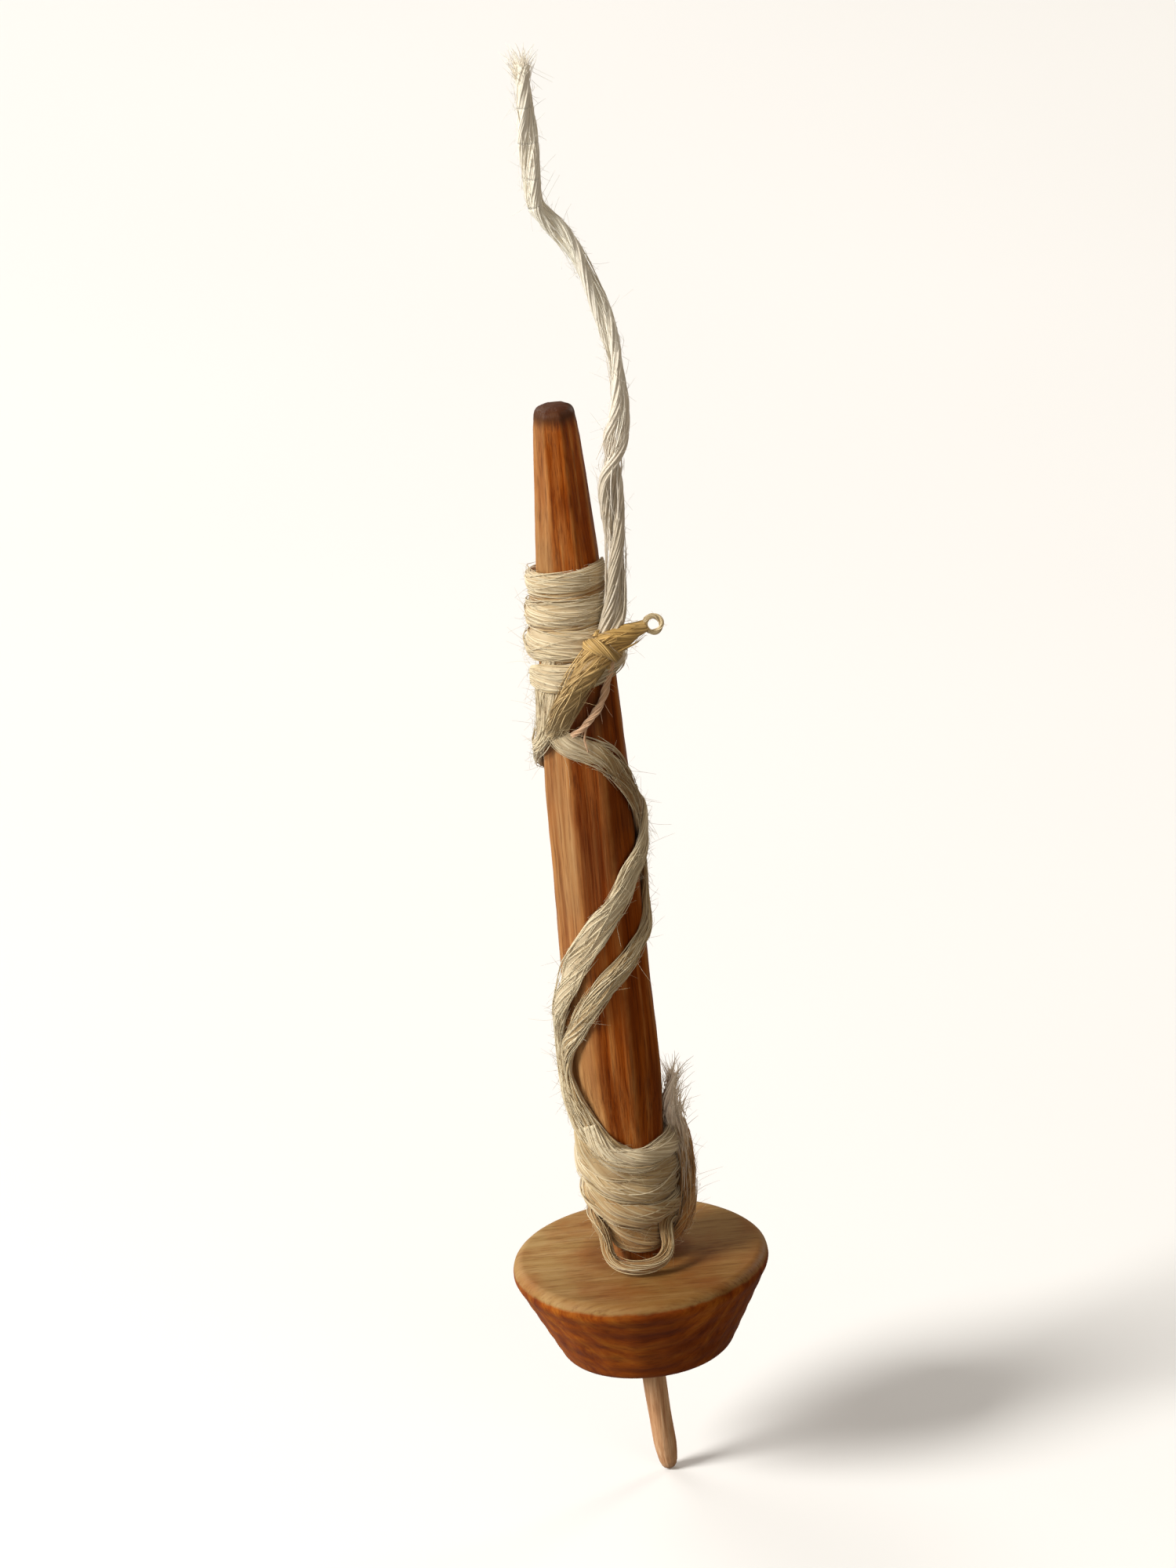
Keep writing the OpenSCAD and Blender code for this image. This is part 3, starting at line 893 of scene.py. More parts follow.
def shaft_darkening_and_shade(theta, z, phi):
    """Darker at the tip and over the top, with painted shade at the foot and in patches between."""
    dark = (np.clip((z - (TIP_Z - 0.85)) / 0.5, 0, 1) * 0.85
            + 0.25 * np.clip((z - (TIP_Z - 4)) / 4, 0, 1) * (0.6 + 0.4 * np.sin(phi)[None]))
    # painted shade at the foot, where the shaft meets the whorl under the cop
    dark = np.clip(dark + 0.45 * np.clip((FACE_Z + 1.5 - z) / 1.5, 0, 1), 0, 0.9)
    for angle, height, half_width, half_height, strength in SHADE_PATCHES:
        across = angle_from(theta, math.radians(angle))
        dark = np.maximum(dark, strength * np.exp(
            -(across / half_width) ** 2 - ((z - height - RAISE) / half_height) ** 2))
    return dark


def build_shaft():
    sides, rows = 152, 430
    foot_z, shoulder_z = FACE_Z + 0.005, TIP_Z - 0.50
    phi = circle(sides)
    theta, z = np.meshgrid(phi, np.linspace(foot_z, shoulder_z, rows))
    radius, edge = shaft_surface(theta, z)
    radius = radius - knife_tears(theta, z)
    centre = shaft_centre(z)
    side = np.stack([centre + radius * np.cos(theta), radius * np.sin(theta), z], -1)
    # a rough rounded shoulder and an uneven end face
    tip = []
    for share, rise in TIP_ROUNDING:
        lump = 0.03 * wave(phi * 2 + share * 5, 3, 4) * share
        tilt = -0.06 * np.cos(phi - 2.4) * share
        tip.append(np.stack([centre[-1] + radius[-1] * share * np.cos(phi),
                             radius[-1] * share * np.sin(phi),
                             np.minimum(TIP_Z - 0.004, shoulder_z + rise + lump + tilt)], -1))
    # flat foot with the peg's blind socket, listed from the socket's end outward
    mouth = along_peg(foot_z)
    depth = PEG_LENGTH + 0.02
    wall = [peg_ring(BORE_RADIUS, phi, d) for d in np.linspace(mouth + 0.05, depth, 6)[::-1]]
    rim = peg_ring(BORE_RADIUS, phi, mouth)
    rim[:, 2] = foot_z
    foot = [(1 - f) * (side[0] * 0.97 + rim * 0.03) + f * rim for f in (1.0, 0.5, 0.0)]
    rings = np.concatenate([wall, foot, side, tip])
    tube = capped(rings, PEG_ROOT + PEG_AXIS * depth,
                  np.array([float(centre[-1].mean()), 0, TIP_Z - 0.005]))

    inner = len(wall) + len(foot)
    edges = np.zeros(rings.shape[:2])
    edges[inner:inner + rows] = edge
    edges[inner + rows:inner + rows + 3] = 0.5
    z = rings[..., 2]
    level = np.clip(z, FACE_Z, TIP_Z)
    theta = np.arctan2(rings[..., 1], rings[..., 0] - shaft_centre(level))
    part = Part()
    part.shell(*tube, pale=np.append(flat_paleness_and_highlight(theta, level), [0, 0]),
               edge=np.append(edges, [0, 0]),
               dark=np.append(shaft_darkening_and_shade(theta, z, phi), [0.5, 0.85]))
    return part.build("whittled_shaft", MAT_SHAFT)


def whorl_profile():
    """Radius and height down the whorl's side, from the CAD's levels, eased at the corners."""
    points = node_points("whorl")
    radius = np.hypot(points[:, 0] - WHORL_X, points[:, 1] - WHORL_Y)

    def widest(z, tolerance):
        return float(radius[np.abs(points[:, 2] - z) < tolerance].max())

    foot = widest(WHORL_LO[2], 1e-3)
    levels = np.unique(np.round(points[radius > foot * 0.999][:, 2], 3))[::-1]
    profile = [(widest(FACE_Z, 1e-3), FACE_Z)] + [(widest(z, 2e-3), float(z)) for z in levels]
    profile = np.array([row for row in profile if row[0] >= foot - 1e-3])
    dist = arc_length(profile)
    even = np.linspace(0, dist[-1], 64)
    radii, heights = (np.interp(even, dist, profile[:, i]) for i in range(2))
    for _ in range(3):
        ease(radii)
        ease(heights)
    return radii, heights


def front_right_shade(ring):
    """Painted shade on the upper face, which grows towards the front and right, away from the light."""
    lean = 0.5 - 0.5 * np.clip((ring[:, 0] * -0.62 + ring[:, 1] * 0.78) / WHORL_RADIUS, -1, 1)
    return 0.46 * lean ** 1.4


def build_whorl():
    sides = 200
    phi = circle(sides)
    radii, heights = whorl_profile()
    rings, marks = [], []

    def add(ring, side, edge, dark):
        rings.append(ring)
        marks.append([np.broadcast_to(mark, sides) for mark in (side, edge, dark)])

    def level_ring(radius, z):
        return np.stack([WHORL_X + radius * np.cos(phi), WHORL_Y + radius * np.sin(phi),
                         np.broadcast_to(z, sides)], -1)

    # the upper face, from the bore outward, very slightly uneven
    bore_top = peg_ring(BORE_RADIUS, phi, along_peg(FACE_Z))
    bore_top[:, 2] = FACE_Z
    rim = level_ring(radii[0], FACE_Z)
    for f in np.linspace(0, 1, 26)[:-1]:
        ring = bore_top * (1 - f) + rim * f
        uneven = 1 + wave(ring[:, 0] * 1.1, 21, 3) * wave(ring[:, 1] * 1.1 + 2, 22, 3)
        ring[:, 2] = FACE_Z - 0.012 * uneven * min(1, f * 3)
        # painted shade on the upper face round the foot of the cop
        from_shaft = np.hypot(ring[:, 0] - 0.35, ring[:, 1])
        cop_shade = 0.35 * np.clip((2.9 - from_shaft) / 0.9, 0, 1)
        add(ring, 0, 0, np.maximum(cop_shade, front_right_shade(ring)))
    # rim and side: out of round by a hair, with tool flats round the side
    out_of_round = 1 + 0.006 * wave(phi * 2, 31, 3) + 0.003 * np.sin(5 * phi + 1)
    for i, (radius, height) in enumerate(zip(radii, heights)):
        t = i / (len(radii) - 1)
        facets = 0.5 - 0.5 * np.cos(phi * 23 + 2.2 * np.sin(phi * 2) + 0.6 * t)
        facets = -0.035 * facets * math.sin(math.pi * min(1, max(0, (t - 0.12) / 0.8)))
        turning = 0.010 * math.sin(height * 9) * (0.1 < t < 0.95)
        z = np.minimum(height + 0.02 * wave(phi * 1.0 + 0.4, 33, 3) * (1 - t), FACE_Z)
        ring = level_ring(radius * out_of_round + facets + turning, z if i else FACE_Z - 0.01)
        # the rim worn paler, partly a painted highlight; painted shade towards the front and right at the rim, and
        # darker low on the side
        add(ring, np.clip((t - 0.07) / 0.10, 0, 1),
            math.exp(-((t - 0.06) / 0.05) ** 2) * (0.55 + 0.45 * wave(phi * 2.0, 35, 4)),
            np.maximum(0.30 * np.clip((t - 0.80) / 0.2, 0, 1),
                       front_right_shade(ring) * np.clip(1.25 - t / 0.16, 0, 1)))
    # underside, countersink and bore: a little darker underneath, with painted shade in the bore
    foot = rings[-1]
    countersink = peg_ring(1.06, phi, 0.0)
    for f in (0.33, 0.66, 0.99):
        ring = foot * (1 - f) + countersink * f
        ring[:, 2] = WHORL_LO[2]
        add(ring, side=0.9, edge=0, dark=0.15)
    for radius, distance in ((1.03, 0.05), (0.85, 0.24), (BORE_RADIUS + 0.02, 0.48),
                             (BORE_RADIUS, 0.56), (BORE_RADIUS, 2.0),
                             (BORE_RADIUS, along_peg(FACE_Z) - 0.05)):
        add(peg_ring(radius, phi, distance), side=0.4, edge=0, dark=0.6)
    last = (len(rings) - 1) * sides
    j = np.arange(sides)
    k = (j + 1) % sides
    closing = np.stack([last + j, last + k, k, j], -1)
    side, edge, dark = np.array(marks).transpose(1, 0, 2)
    part = Part()
    part.shell(np.concatenate(rings), np.concatenate([grid_faces(len(rings), sides), closing]),
               np.zeros((0, 3), int), side=side.ravel(), edge=np.clip(edge.ravel(), 0, 1),
               dark=dark.ravel())
    return part.build("carved_whorl", MAT_WHORL)


def build_peg():
    sides = 64
    phi = circle(sides)
    tip = -PEG_DROP
    # distance along the axis, radius
    profile = np.array([(tip, 0.16), (tip + 0.06, 0.25), (tip + 0.16, 0.32), (tip + 0.36, 0.385),
                        (tip + 0.8, 0.44), (tip + 1.2, 0.475), (-0.6, PEG_OUTER_RADIUS),
                        (0, PEG_INNER_RADIUS), (PEG_LENGTH, PEG_INNER_RADIUS)])
    distances = np.concatenate([np.linspace(tip + 0.03, tip + 1.1, 26),
                                np.linspace(tip + 1.16, -0.6, 60), np.linspace(-0.55, 0, 12),
                                np.linspace(0.1, PEG_LENGTH, 20)])
    rings, dark = [], []
    for z, radius in zip(distances, np.interp(distances, *profile.T)):
        free = np.clip(-z / 0.6, 0, 1)       # 0 inside the wood, 1 well below it
        uneven = free * (0.035 * wave(phi * 1.0 + 0.05 * z, 51, 3)
                         + 0.016 * wave(phi * 4 + 0.25 * z, 52, 4) + 0.012 * math.sin(z * 2.3))
        ring = peg_ring(radius * (1 + uneven), phi, z)
        ring[:, 0] -= 0.05 * free * math.sin(math.pi * min(1, -z / PEG_DROP))    # slight bow
        rings.append(ring)
        # painted shade just under the whorl, and darker towards the tip
        dark.append(np.full(sides, 0.5 * np.clip(1 + z / 0.8, 0, 1)
                            + 0.35 * np.clip((tip + 0.5 - z) / 0.5, 0, 1)))
    part = Part()
    part.shell(*capped(np.stack(rings), PEG_ROOT - PEG_AXIS * PEG_DROP,
                       PEG_ROOT + PEG_AXIS * PEG_LENGTH), dark=np.append(dark, [0.6, 0.5]))
    return part.build("split_peg", MAT_PEG)


def on_spindle(ob, node, slot):
    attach(ob, "spindle")
    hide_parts(node)


wood = ((build_shaft(), "shaft", "shaft_wood"), (build_whorl(), "whorl", "whorl_wood"),
        (build_peg(), "tip_peg", "peg_wood"))
for piece in wood:
    on_spindle(*piece)


# ---------------------------------------------------------------------------------------------
# Yarn pieces on the spindle
# ---------------------------------------------------------------------------------------------
# The rows of each winding are angle, height and extra lift off the wood.
# The cop from the top down: nearly three turns, then a slack loop that hangs in front with the
# wood showing inside it, and a last stretch low down round the back.
COP = [
    (228, 11.2, 0), (236, 10.5, 0), (246, 10.0, 0.02), (258, 9.72, 0.04), (275, 9.58, 0.06),
    (298, 9.56, 0.04), (324, 9.66, 0), (360, 9.75, 0), (440, 9.6, 0), (515, 9.3, 0),
    (545, 9.02, 0), (570, 8.8, 0), (592, 8.56, 0.02), (613, 8.38, 0.03), (640, 8.24, 0.04),
    (670, 8.2, 0.02), (700, 8.3, 0), (760, 8.35, 0), (850, 8.05, 0), (905, 7.68, 0),
    (932, 7.48, 0.02), (958, 7.2, 0.04), (985, 6.98, 0.04), (1020, 6.86, 0.04),
    (1050, 6.88, 0.02), (1090, 6.98, 0), (1150, 6.9, 0), (1220, 6.6, 0), (1262, 6.42, 0),
    (1280, 6.40, 0.02), (1292, 6.22, 0.06), (1300, 5.92, 0.14), (1306, 5.60, 0.28),
    (1314, 5.24, 0.50), (1326, 4.97, 0.72), (1346, 4.84, 0.86), (1366, 4.92, 0.74),
    (1380, 5.16, 0.50), (1388, 5.52, 0.28), (1392, 5.95, 0.10), (1398, 6.3, -0.04),
    (1412, 6.36, -0.06), (1440, 6.1, 0), (1490, 5.75, 0), (1550, 5.45, 0), (1590, 5.3, -0.06),
    (1608, 5.25, -0.22)]
LOOP_FROM, LOOP_TO = 29, 40              # the rows of the slack loop
COP_UNDER_TOP = [
    (196, 10.6, 0), (206, 10.1, 0.04), (218, 9.7, 0.08), (232, 9.4, 0.08), (250, 9.15, 0.02),
    (270, 8.95, 0), (292, 8.9, 0)]
COP_UNDER_LOOP = [(206, 6.2, 0), (230, 6.0, 0), (265, 5.78, 0), (300, 5.74, 0), (335, 5.86, 0)]


def build_cop():
    path = on_shaft(COP, 0.33)
    last = len(COP) - 1
    wide = keyed(path, COP, [
        (0, 0.42), (3, 0.54), (6, 0.58), (LOOP_FROM - 4, 0.58), (LOOP_FROM - 1, 0.46),
        (LOOP_FROM + 2, 0.30), (LOOP_TO - 2, 0.27), (LOOP_TO + 2, 0.40), (last, 0.44)])
    thick = keyed(path, COP, [
        (0, 0.34), (LOOP_FROM - 3, 0.35), (LOOP_FROM + 2, 0.27), (LOOP_TO - 2, 0.25),
        (LOOP_TO + 2, 0.34), (last, 0.26)])
    # painted shade: darker down the cop and darkest in the slack loop
    tone = keyed(path, COP, [
        (0, 0.80), (9, 0.78), (12, 0.40), (18, 0.40), (21, 0.26), (LOOP_FROM - 3, 0.26),
        (LOOP_FROM + 2, 0.06), (LOOP_TO - 1, 0.04), (last, 0.26)])
    outer = Strand(path, thick, wide, seed=101, pitch=17.0, phase=1.57, spread=0.42, ply=0.60,
                   lane_r=0.22, fibre_pitch=6.0, ends=(0.5, 0.6), tone=tone, edge_tone=-0.22)
    outer.wisps(85, reach=(0.95, 1.12), radius=(0.014, 0.034), arc=1.6, stray=0.05, tone=0.55)
    outer.fuzz(8, arc=1.9)
    part = Part()
    outer.into(part)
    # an inner layer that shows only in the grooves between the upper turns
    grooves = on_shaft([(angle, z - 0.66, 0) for angle, z, _ in COP[4:21]], 0.20)
    flat = dict(plies=1, fibre_pitch=9.0, ends=(0.4, 0.4), tone=0.34)
    Strand(grooves, 0.22, 0.44, seed=109, lanes=10, lane_r=0.34, **flat).into(part)
    Strand(on_shaft(COP_UNDER_TOP, 0.24), 0.26, 0.62, seed=113, lane_r=0.32, **flat).into(part)
    # a thin deep brown layer on the wood under the slack loop, its darkness painted shade inside the loop
    thin = Strand(on_shaft(COP_UNDER_LOOP, 0.05), 0.10, 0.70, seed=117, plies=1, lanes=22,
                  lane_r=0.62, fibre_pitch=14.0, ends=(0.4, 0.4), rough=1.6, tone=0.0)
    thin.fuzz(12, arc=1.2, radius=0.0095)
    thin.into(part)
    on_spindle(part.build("cop_yarn", MAT_WOOL), "cop_winding", "wool_yarn")


# The tail stands up on the right of the cop: points x, y, z, from the bottom up.
TAIL_INNER = [(1.78, -0.80, 5.5), (2.20, -0.30, 6.3), (2.36, 0.15, 7.8), (2.28, 0.35, 9.2),
              (2.00, 0.50, 10.4), (1.96, 0.45, 11.4)]
TAIL_OUTER = [(1.72, -1.00, 5.35), (2.14, -0.98, 5.75), (2.48, -0.80, 6.4), (2.66, -0.50, 7.3),
              (2.68, -0.22, 8.4), (2.56, -0.06, 9.5), (2.32, 0.0, 10.5), (2.20, 0.02, 11.4),
              (2.28, 0.04, 12.1), (2.44, 0.05, 12.6)]


def build_tail():
    part = Part()
    # the inner length fills the hollow between the cop and the outer one, kept dark as painted shade
    Strand(raised(catmull(TAIL_INNER, 8)), 0.30, 0.40, seed=141, ref=(1, 0.2, 0), pitch=6.0,
           lanes=8, lane_r=0.28, ends=(0.2, 0.5), rough=1.4, tone=(0.05, 0.10, 0.40)).into(part)
    # the outer length runs from painted shade low on the cop's right up to pale at the top
    path = raised(catmull(TAIL_OUTER, 8))
    outer = Strand(path, (0.22, 0.28, 0.30, 0.32, 0.30, 0.24),
                   (0.30, 0.36, 0.38, 0.40, 0.38, 0.34), seed=131, ref=(1, 0.1, 0), pitch=6.0,
                   lanes=9, lane_r=0.24, ends=(0.5, 0.45), rough=1.6,
                   loose=(0, 0, 0.02, 0.05), tone=(0.02, 0.10, 0.22, 0.55, 1.0, 1.1))
    outer.wisps(110, reach=(0.8, 1.3), length=(1.2, 4.0), stray=0.14, tone=0.35)
    outer.fuzz(40, length=(0.3, 1.0), tone=0.8)
    outer.into(part)
    end = path[-1]
    tuft(part, end, along=(0.22, 0, 1), wide=0.36, count=190, seed=5, reach=(0.05, 0.5),
         back=(0.1, 2.4), radius=(0.008, 0.026), splay=0.42, tone=0.95)
    tuft(part, end + [-0.1, 0, -1.6], along=(0.12, 0, 1), wide=0.40, count=90, seed=6,
         reach=(0.2, 1.1), back=(0.1, 1.5), radius=(0.008, 0.024), splay=0.36, tone=0.9)
    on_spindle(part.build("cop_tail_yarn", MAT_TAIL), "cop_tail", "wool_yarn")


# Two lengths that run between the hitch and the cop, from the top down. The first swings from
# left to right and back across the front; the second passes behind, then crosses the front.
RISER_FRONT = [
    (206, 30.2, -0.02), (217, 29.75, 0.03), (229, 29.35, 0.05), (243, 28.95, 0.03),
    (258, 28.7, 0), (273, 28.5, 0), (291, 28.15, 0), (307, 27.6, 0), (323, 26.75, 0),
    (339, 25.7, 0), (352, 24.8, 0), (364, 23.9, -0.05), (374, 23.0, -0.07), (376, 22.1, -0.07),
    (368, 21.3, -0.06), (352, 20.5, -0.03), (337, 19.95, 0), (325, 19.6, 0), (308, 19.05, 0),
    (289, 18.5, 0), (271, 17.9, 0), (256, 17.25, 0), (242, 16.5, 0), (227, 15.65, 0),
    (212, 14.85, 0), (204, 14.1, 0), (203, 13.3, 0), (209, 12.5, 0), (221, 11.5, 0),
    (236, 10.7, 0), (254, 10.1, 0), (274, 9.8, -0.1)]
RISER_BACK = [
    (230, 32.7, -0.06), (227, 31.9, 0.03), (224, 31.1, 0.05), (221, 30.3, 0.04),
    (216, 29.5, 0.02), (206, 28.8, 0), (188, 28.2, 0), (165, 27.5, 0), (130, 26.8, 0),
    (95, 26.2, 0), (62, 25.6, 0), (38, 25.1, 0.06), (14, 24.6, 0.14), (-8, 24.0, 0.14),
    (-25, 23.35, 0.08), (-43, 22.75, 0.02), (-59, 22.05, 0), (-72, 21.45, 0), (-90, 20.62, 0),
    (-103, 19.98, 0), (-116, 19.3, 0), (-130, 18.5, 0), (-141, 17.75, 0), (-153, 16.9, 0),
    (-168, 15.85, 0), (-179, 14.7, 0), (-178, 13.5, 0), (-167, 12.3, 0), (-152, 11.1, 0),
    (-136, 10.3, 0.02), (-118, 9.8, 0.06), (-96, 9.55, 0.08), (-70, 9.5, 0.06), (-40, 9.6, 0),
    (-15, 9.7, -0.1)]


def build_riser(node, rows, lift, thick, wide, tone, seed, reach, stray, **spin):
    """thick, wide and tone are given as (row number, value)."""
    path = on_shaft(rows, lift)
    thick, wide, tone = (keyed(path, rows, keys) for keys in (thick, wide, tone))
    yarn = Strand(path, thick, wide, seed=seed, tone=tone, lanes=13, ends=(0.6, 0.6),
                  edge_tone=-0.15, **spin)
    yarn.wisps(110, reach=reach, radius=(0.014, 0.034), length=(2, 7), arc=1.5, stray=stray)
    yarn.fuzz(26, arc=1.7)
    part = Part()
    yarn.into(part)
    on_spindle(part.build(node + "_yarn", MAT_WOOL), node, "wool_yarn")


def build_risers():
    last = len(RISER_FRONT) - 1
    build_riser("riser_front", RISER_FRONT, lift=0.14, seed=201,
                thick=[(0, 0.14), (6, 0.14), (13, 0.15), (18, 0.18), (last, 0.24)],
                wide=[(0, 0.44), (4, 0.52), (8, 0.46), (13, 0.40), (18, 0.40), (24, 0.38),
                      (last, 0.42)],
                # rows 6 to 13 run over the shaded right side and are darkened as painted shade
                tone=[(0, 0.75), (4, 0.72), (6, 0.35), (8, 0.0), (13, 0.05), (16, 0.28),
                      (last, 0.40)],
                pitch=9.0, ply=0.72, lane_r=0.34, fibre_pitch=9.0, rough=1.3,
                reach=(0.95, 1.2), stray=0.09)
    last = len(RISER_BACK) - 1
    build_riser("riser_back", RISER_BACK, lift=0.19, seed=231,
                thick=[(0, 0.20), (6, 0.19), (13, 0.16), (18, 0.19), (25, 0.24), (last, 0.30)],
                wide=[(0, 0.60), (3, 0.62), (5, 0.50), (8, 0.42), (13, 0.50), (18, 0.56),
                      (22, 0.56), (25, 0.44), (last - 5, 0.42), (last, 0.48)],
                tone=[(0, 0.9), (4, 0.85), (7, 0.55), (13, 0.55), (15, 0.82), (22, 0.82),
                      (28, 0.62), (last - 5, 0.72), (last - 3, 0.95), (last, 0.8)],
                pitch=11.0, ply=0.74, lane_r=0.30, fibre_pitch=10.0, rough=1.1,
                reach=(0.95, 1.12), stray=0.06)


HITCH_FOOT = 31.45                       # height at which the hitch starts
HITCH_PITCH = 1.38                       # rise per turn
HITCH_SWEEP = 1230                       # degrees wound
HITCH_START = 200                        # angle of its first point


def build_hitch():
    rows = []
    for turned in range(0, HITCH_SWEEP + 1, 30):
        angle = turned + HITCH_START
        dip = 0.18 * math.cos(math.radians(angle - 225))
        hump = 0.52 * math.exp(-((turned - 190) / 75) ** 2)      # in the lowest turn
        lift = (0.18 * (1 - turned / HITCH_SWEEP) ** 1.5 * (1 - hump)
                + 0.04 * math.sin(turned * 0.013))
        rows.append((angle, HITCH_FOOT + HITCH_PITCH * turned / 360 + dip + hump, lift))
    yarn = Strand(on_shaft(rows, 0.17, 4), (0.27, 0.28, 0.26, 0.22, 0.16),
                  (0.60, 0.63, 0.64, 0.61, 0.57, 0.54), seed=301, pitch=26.0, phase=1.4,
                  spread=0.28, ply=0.76, lanes=15, lane_r=0.24, fibre_pitch=14.0,
                  ends=(0.6, 0.7), rough=1.4, tone=(0.78, 0.66, 0.62, 0.56), edge_tone=-0.45)
    yarn.wisps(130, reach=(0.98, 1.15), arc=1.5, stray=0.08)
    yarn.fuzz(18, arc=1.5, length=(0.25, 0.9))
    part = Part()
    yarn.into(part)
    # thin dark fibres lying in the grooves between the bands, as painted shade there
    grooves = on_shaft([(angle, z + 0.68, 0) for angle, z, _ in rows[1:-8]], 0.13, 4)
    Strand(grooves, 0.12, 0.30, seed=317, plies=1, lanes=7, lane_r=0.6, arc=3.2,
           ends=(0.4, 0.4), rough=1.5, tone=0.06).into(part)
    on_spindle(part.build("hitch_yarn", MAT_WOOL), "hitch_winding", "wool_yarn")


# The stub climbs over the hitch in front, from lower left to upper right, then leaves the
# shaft to the right: winding rows, then points x, y, z.
STUB_ON_SHAFT = [
    (216, 28.85, -0.06), (227, 29.1, 0.02), (237, 29.5, 0.10), (245, 30.0, 0.18),
    (253, 30.6, 0.28), (262, 31.2, 0.38), (271, 31.8, 0.45), (280, 32.3, 0.52),
    (290, 32.8, 0.58), (300, 33.15, 0.62)]
STUB_FREE = [(1.58, -2.02, 33.38), (2.02, -1.90, 33.52), (2.48, -1.76, 33.66),
             (3.00, -1.65, 33.82)]
KNOT_X = 1.15                            # where a turn of yarn goes round the stub
CURL_CENTRE = (3.28, -1.62, 33.84)
CURL_RADIUS = 0.33


def build_stub():
    part = Part()
    path = catmull(np.vstack([on_shaft(STUB_ON_SHAFT, 0.22, 3), raised(STUB_FREE)]), 2)
    stub = Strand(path, (0.14, 0.18, 0.22, 0.28, 0.34, 0.40, 0.44, 0.48, 0.52, 0.52, 0.50, 0.34),
                  (0.30, 0.40, 0.48, 0.54, 0.58, 0.60, 0.60, 0.58, 0.56, 0.55, 0.52, 0.34),
                  seed=401, ref=(0.12, -1, 0.1), spread=0.28, ply=0.76, lanes=14, lane_r=0.17,
                  step=0.08, ends=(0.5, 0.7), rough=1.2,
                  gold=(0.0, 0.1, 0.3, 0.5, 0.6, 0.7, 0.8, 0.9, 1, 1, 0.8),
                  tone=(0.45, 0.34, 0.30, 0.30, 0.32, 0.36, 0.42, 0.48, 0.50, 0.54, 0.70),
                  edge_tone=-0.15)
    stub.wisps(60, reach=(0.95, 1.12), radius=(0.012, 0.030), length=(1.0, 3.0), stray=0.04,
               tone=0.45)
    stub.fuzz(22, length=(0.2, 0.7))
    stub.into(part)
    # one and a half turns of the same yarn round it, which make the knot
    i = int(np.argmin(np.abs(stub.path[:, 0] - KNOT_X)))
    centre = stub.path[i]
    angle = np.linspace(-0.75, 0.75, 60) * TAU
    wrap = (centre + np.outer(np.cos(angle) * 0.54, stub.normal[i])
            + np.outer(np.sin(angle) * 0.66, stub.binormal[i])
            + np.outer(angle / TAU * 0.60 + 0.10 * np.sin(angle), stub.tangent[i]))
    knot = Strand(wrap, 0.20, 0.28, seed=411, ref=lambda points: points - centre, pitch=3.0,
                  spread=0.28, ply=0.75, lanes=10, lane_r=0.24, step=0.08, fibre_pitch=3.0,
                  ends=(0.4, 0.4), gold=0.9, tone=0.42)
    knot.fuzz(8, length=(0.2, 0.6), radius=0.0095)
    knot.into(part)
    # the tiny curled loop at its end
    angle = np.linspace(-0.45, 1.02, 48) * TAU
    radius = CURL_RADIUS + 0.03 * np.sin(angle * 0.5)
    loop = (raised(CURL_CENTRE) + np.outer(radius * np.cos(angle + math.pi), [1, 0, 0])
            + np.outer(radius * np.sin(angle + math.pi), [0, 0.27, 0.96])
            + np.outer(angle * 0.014, [0, -1, 0]))
    curl = Strand(loop, 0.10, 0.10, seed=421, ref=(0, -1, 0.2), pitch=1.2, step=0.035, ply=0.74,
                  lanes=5, lane_r=0.36, fibre_pitch=1.6, gold=0.15, tone=1.0)
    curl.fuzz(5, length=(0.15, 0.4), radius=0.007)
    curl.into(part)
    on_spindle(part.build("hitch_stub_yarn", MAT_GOLD), "hitch_stub", "glued_yarn")


THREAD = [(322, 33.1, 0.40), (316, 32.5, 0.42), (309, 31.9, 0.40), (301, 31.2, 0.34),
          (291, 30.5, 0.28), (279, 29.95, 0.24), (268, 29.55, 0.24), (256, 29.3, 0.16)]
THREAD_BRANCH = [(278, 29.85, 0.26), (273, 29.5, 0.26), (271, 29.0, 0.30), (274, 28.5, 0.28)]


def build_thread():
    part = Part()
    main = Strand(on_shaft(THREAD, 0.14, 5), 0.145, 0.155, seed=451, pitch=1.6, step=0.06,
                  lanes=5, lane_r=0.36, fibre_pitch=2.0, ends=(0.6, 0.5))
    main.fuzz(8, length=(0.2, 0.6))
    main.into(part)
    Strand(on_shaft(THREAD_BRANCH, 0.06), 0.05, 0.055, seed=455, pitch=1.2, step=0.06, lanes=4,
           lane_r=0.4, fibre_pitch=1.2, ends=(0.6, 0.3)).into(part)
    on_spindle(part.build("binding_thread_yarn", MAT_THREAD), "binding_thread", "thin_thread")


# The leader from the hitch up to the spindle's axis: points x, y, z.
LEADER = [
    (1.05, -2.00, 33.0), (1.45, -1.86, 33.7), (1.76, -1.72, 34.6), (1.90, -1.58, 35.4),
    (1.98, -1.45, 36.3), (2.04, -1.30, 37.5), (2.04, -1.12, 38.8), (2.06, -1.00, 40.1),
    (2.32, -0.90, 41.4), (2.66, -0.80, 42.7), (2.80, -0.68, 43.8), (2.74, -0.50, 45.2),
    (2.46, -0.35, 46.8), (2.05, -0.20, 48.4), (1.34, -0.08, 50.2), (0.50, 0, 51.4)]
# heights where its lengths pass from one body to the next
LEADER_CUTS = (SPIN_Z - 0.30, (SPIN_Z + SIDE_Z) / 2, (SIDE_Z + FORE_Z) / 2, FORE_Z + 0.75)
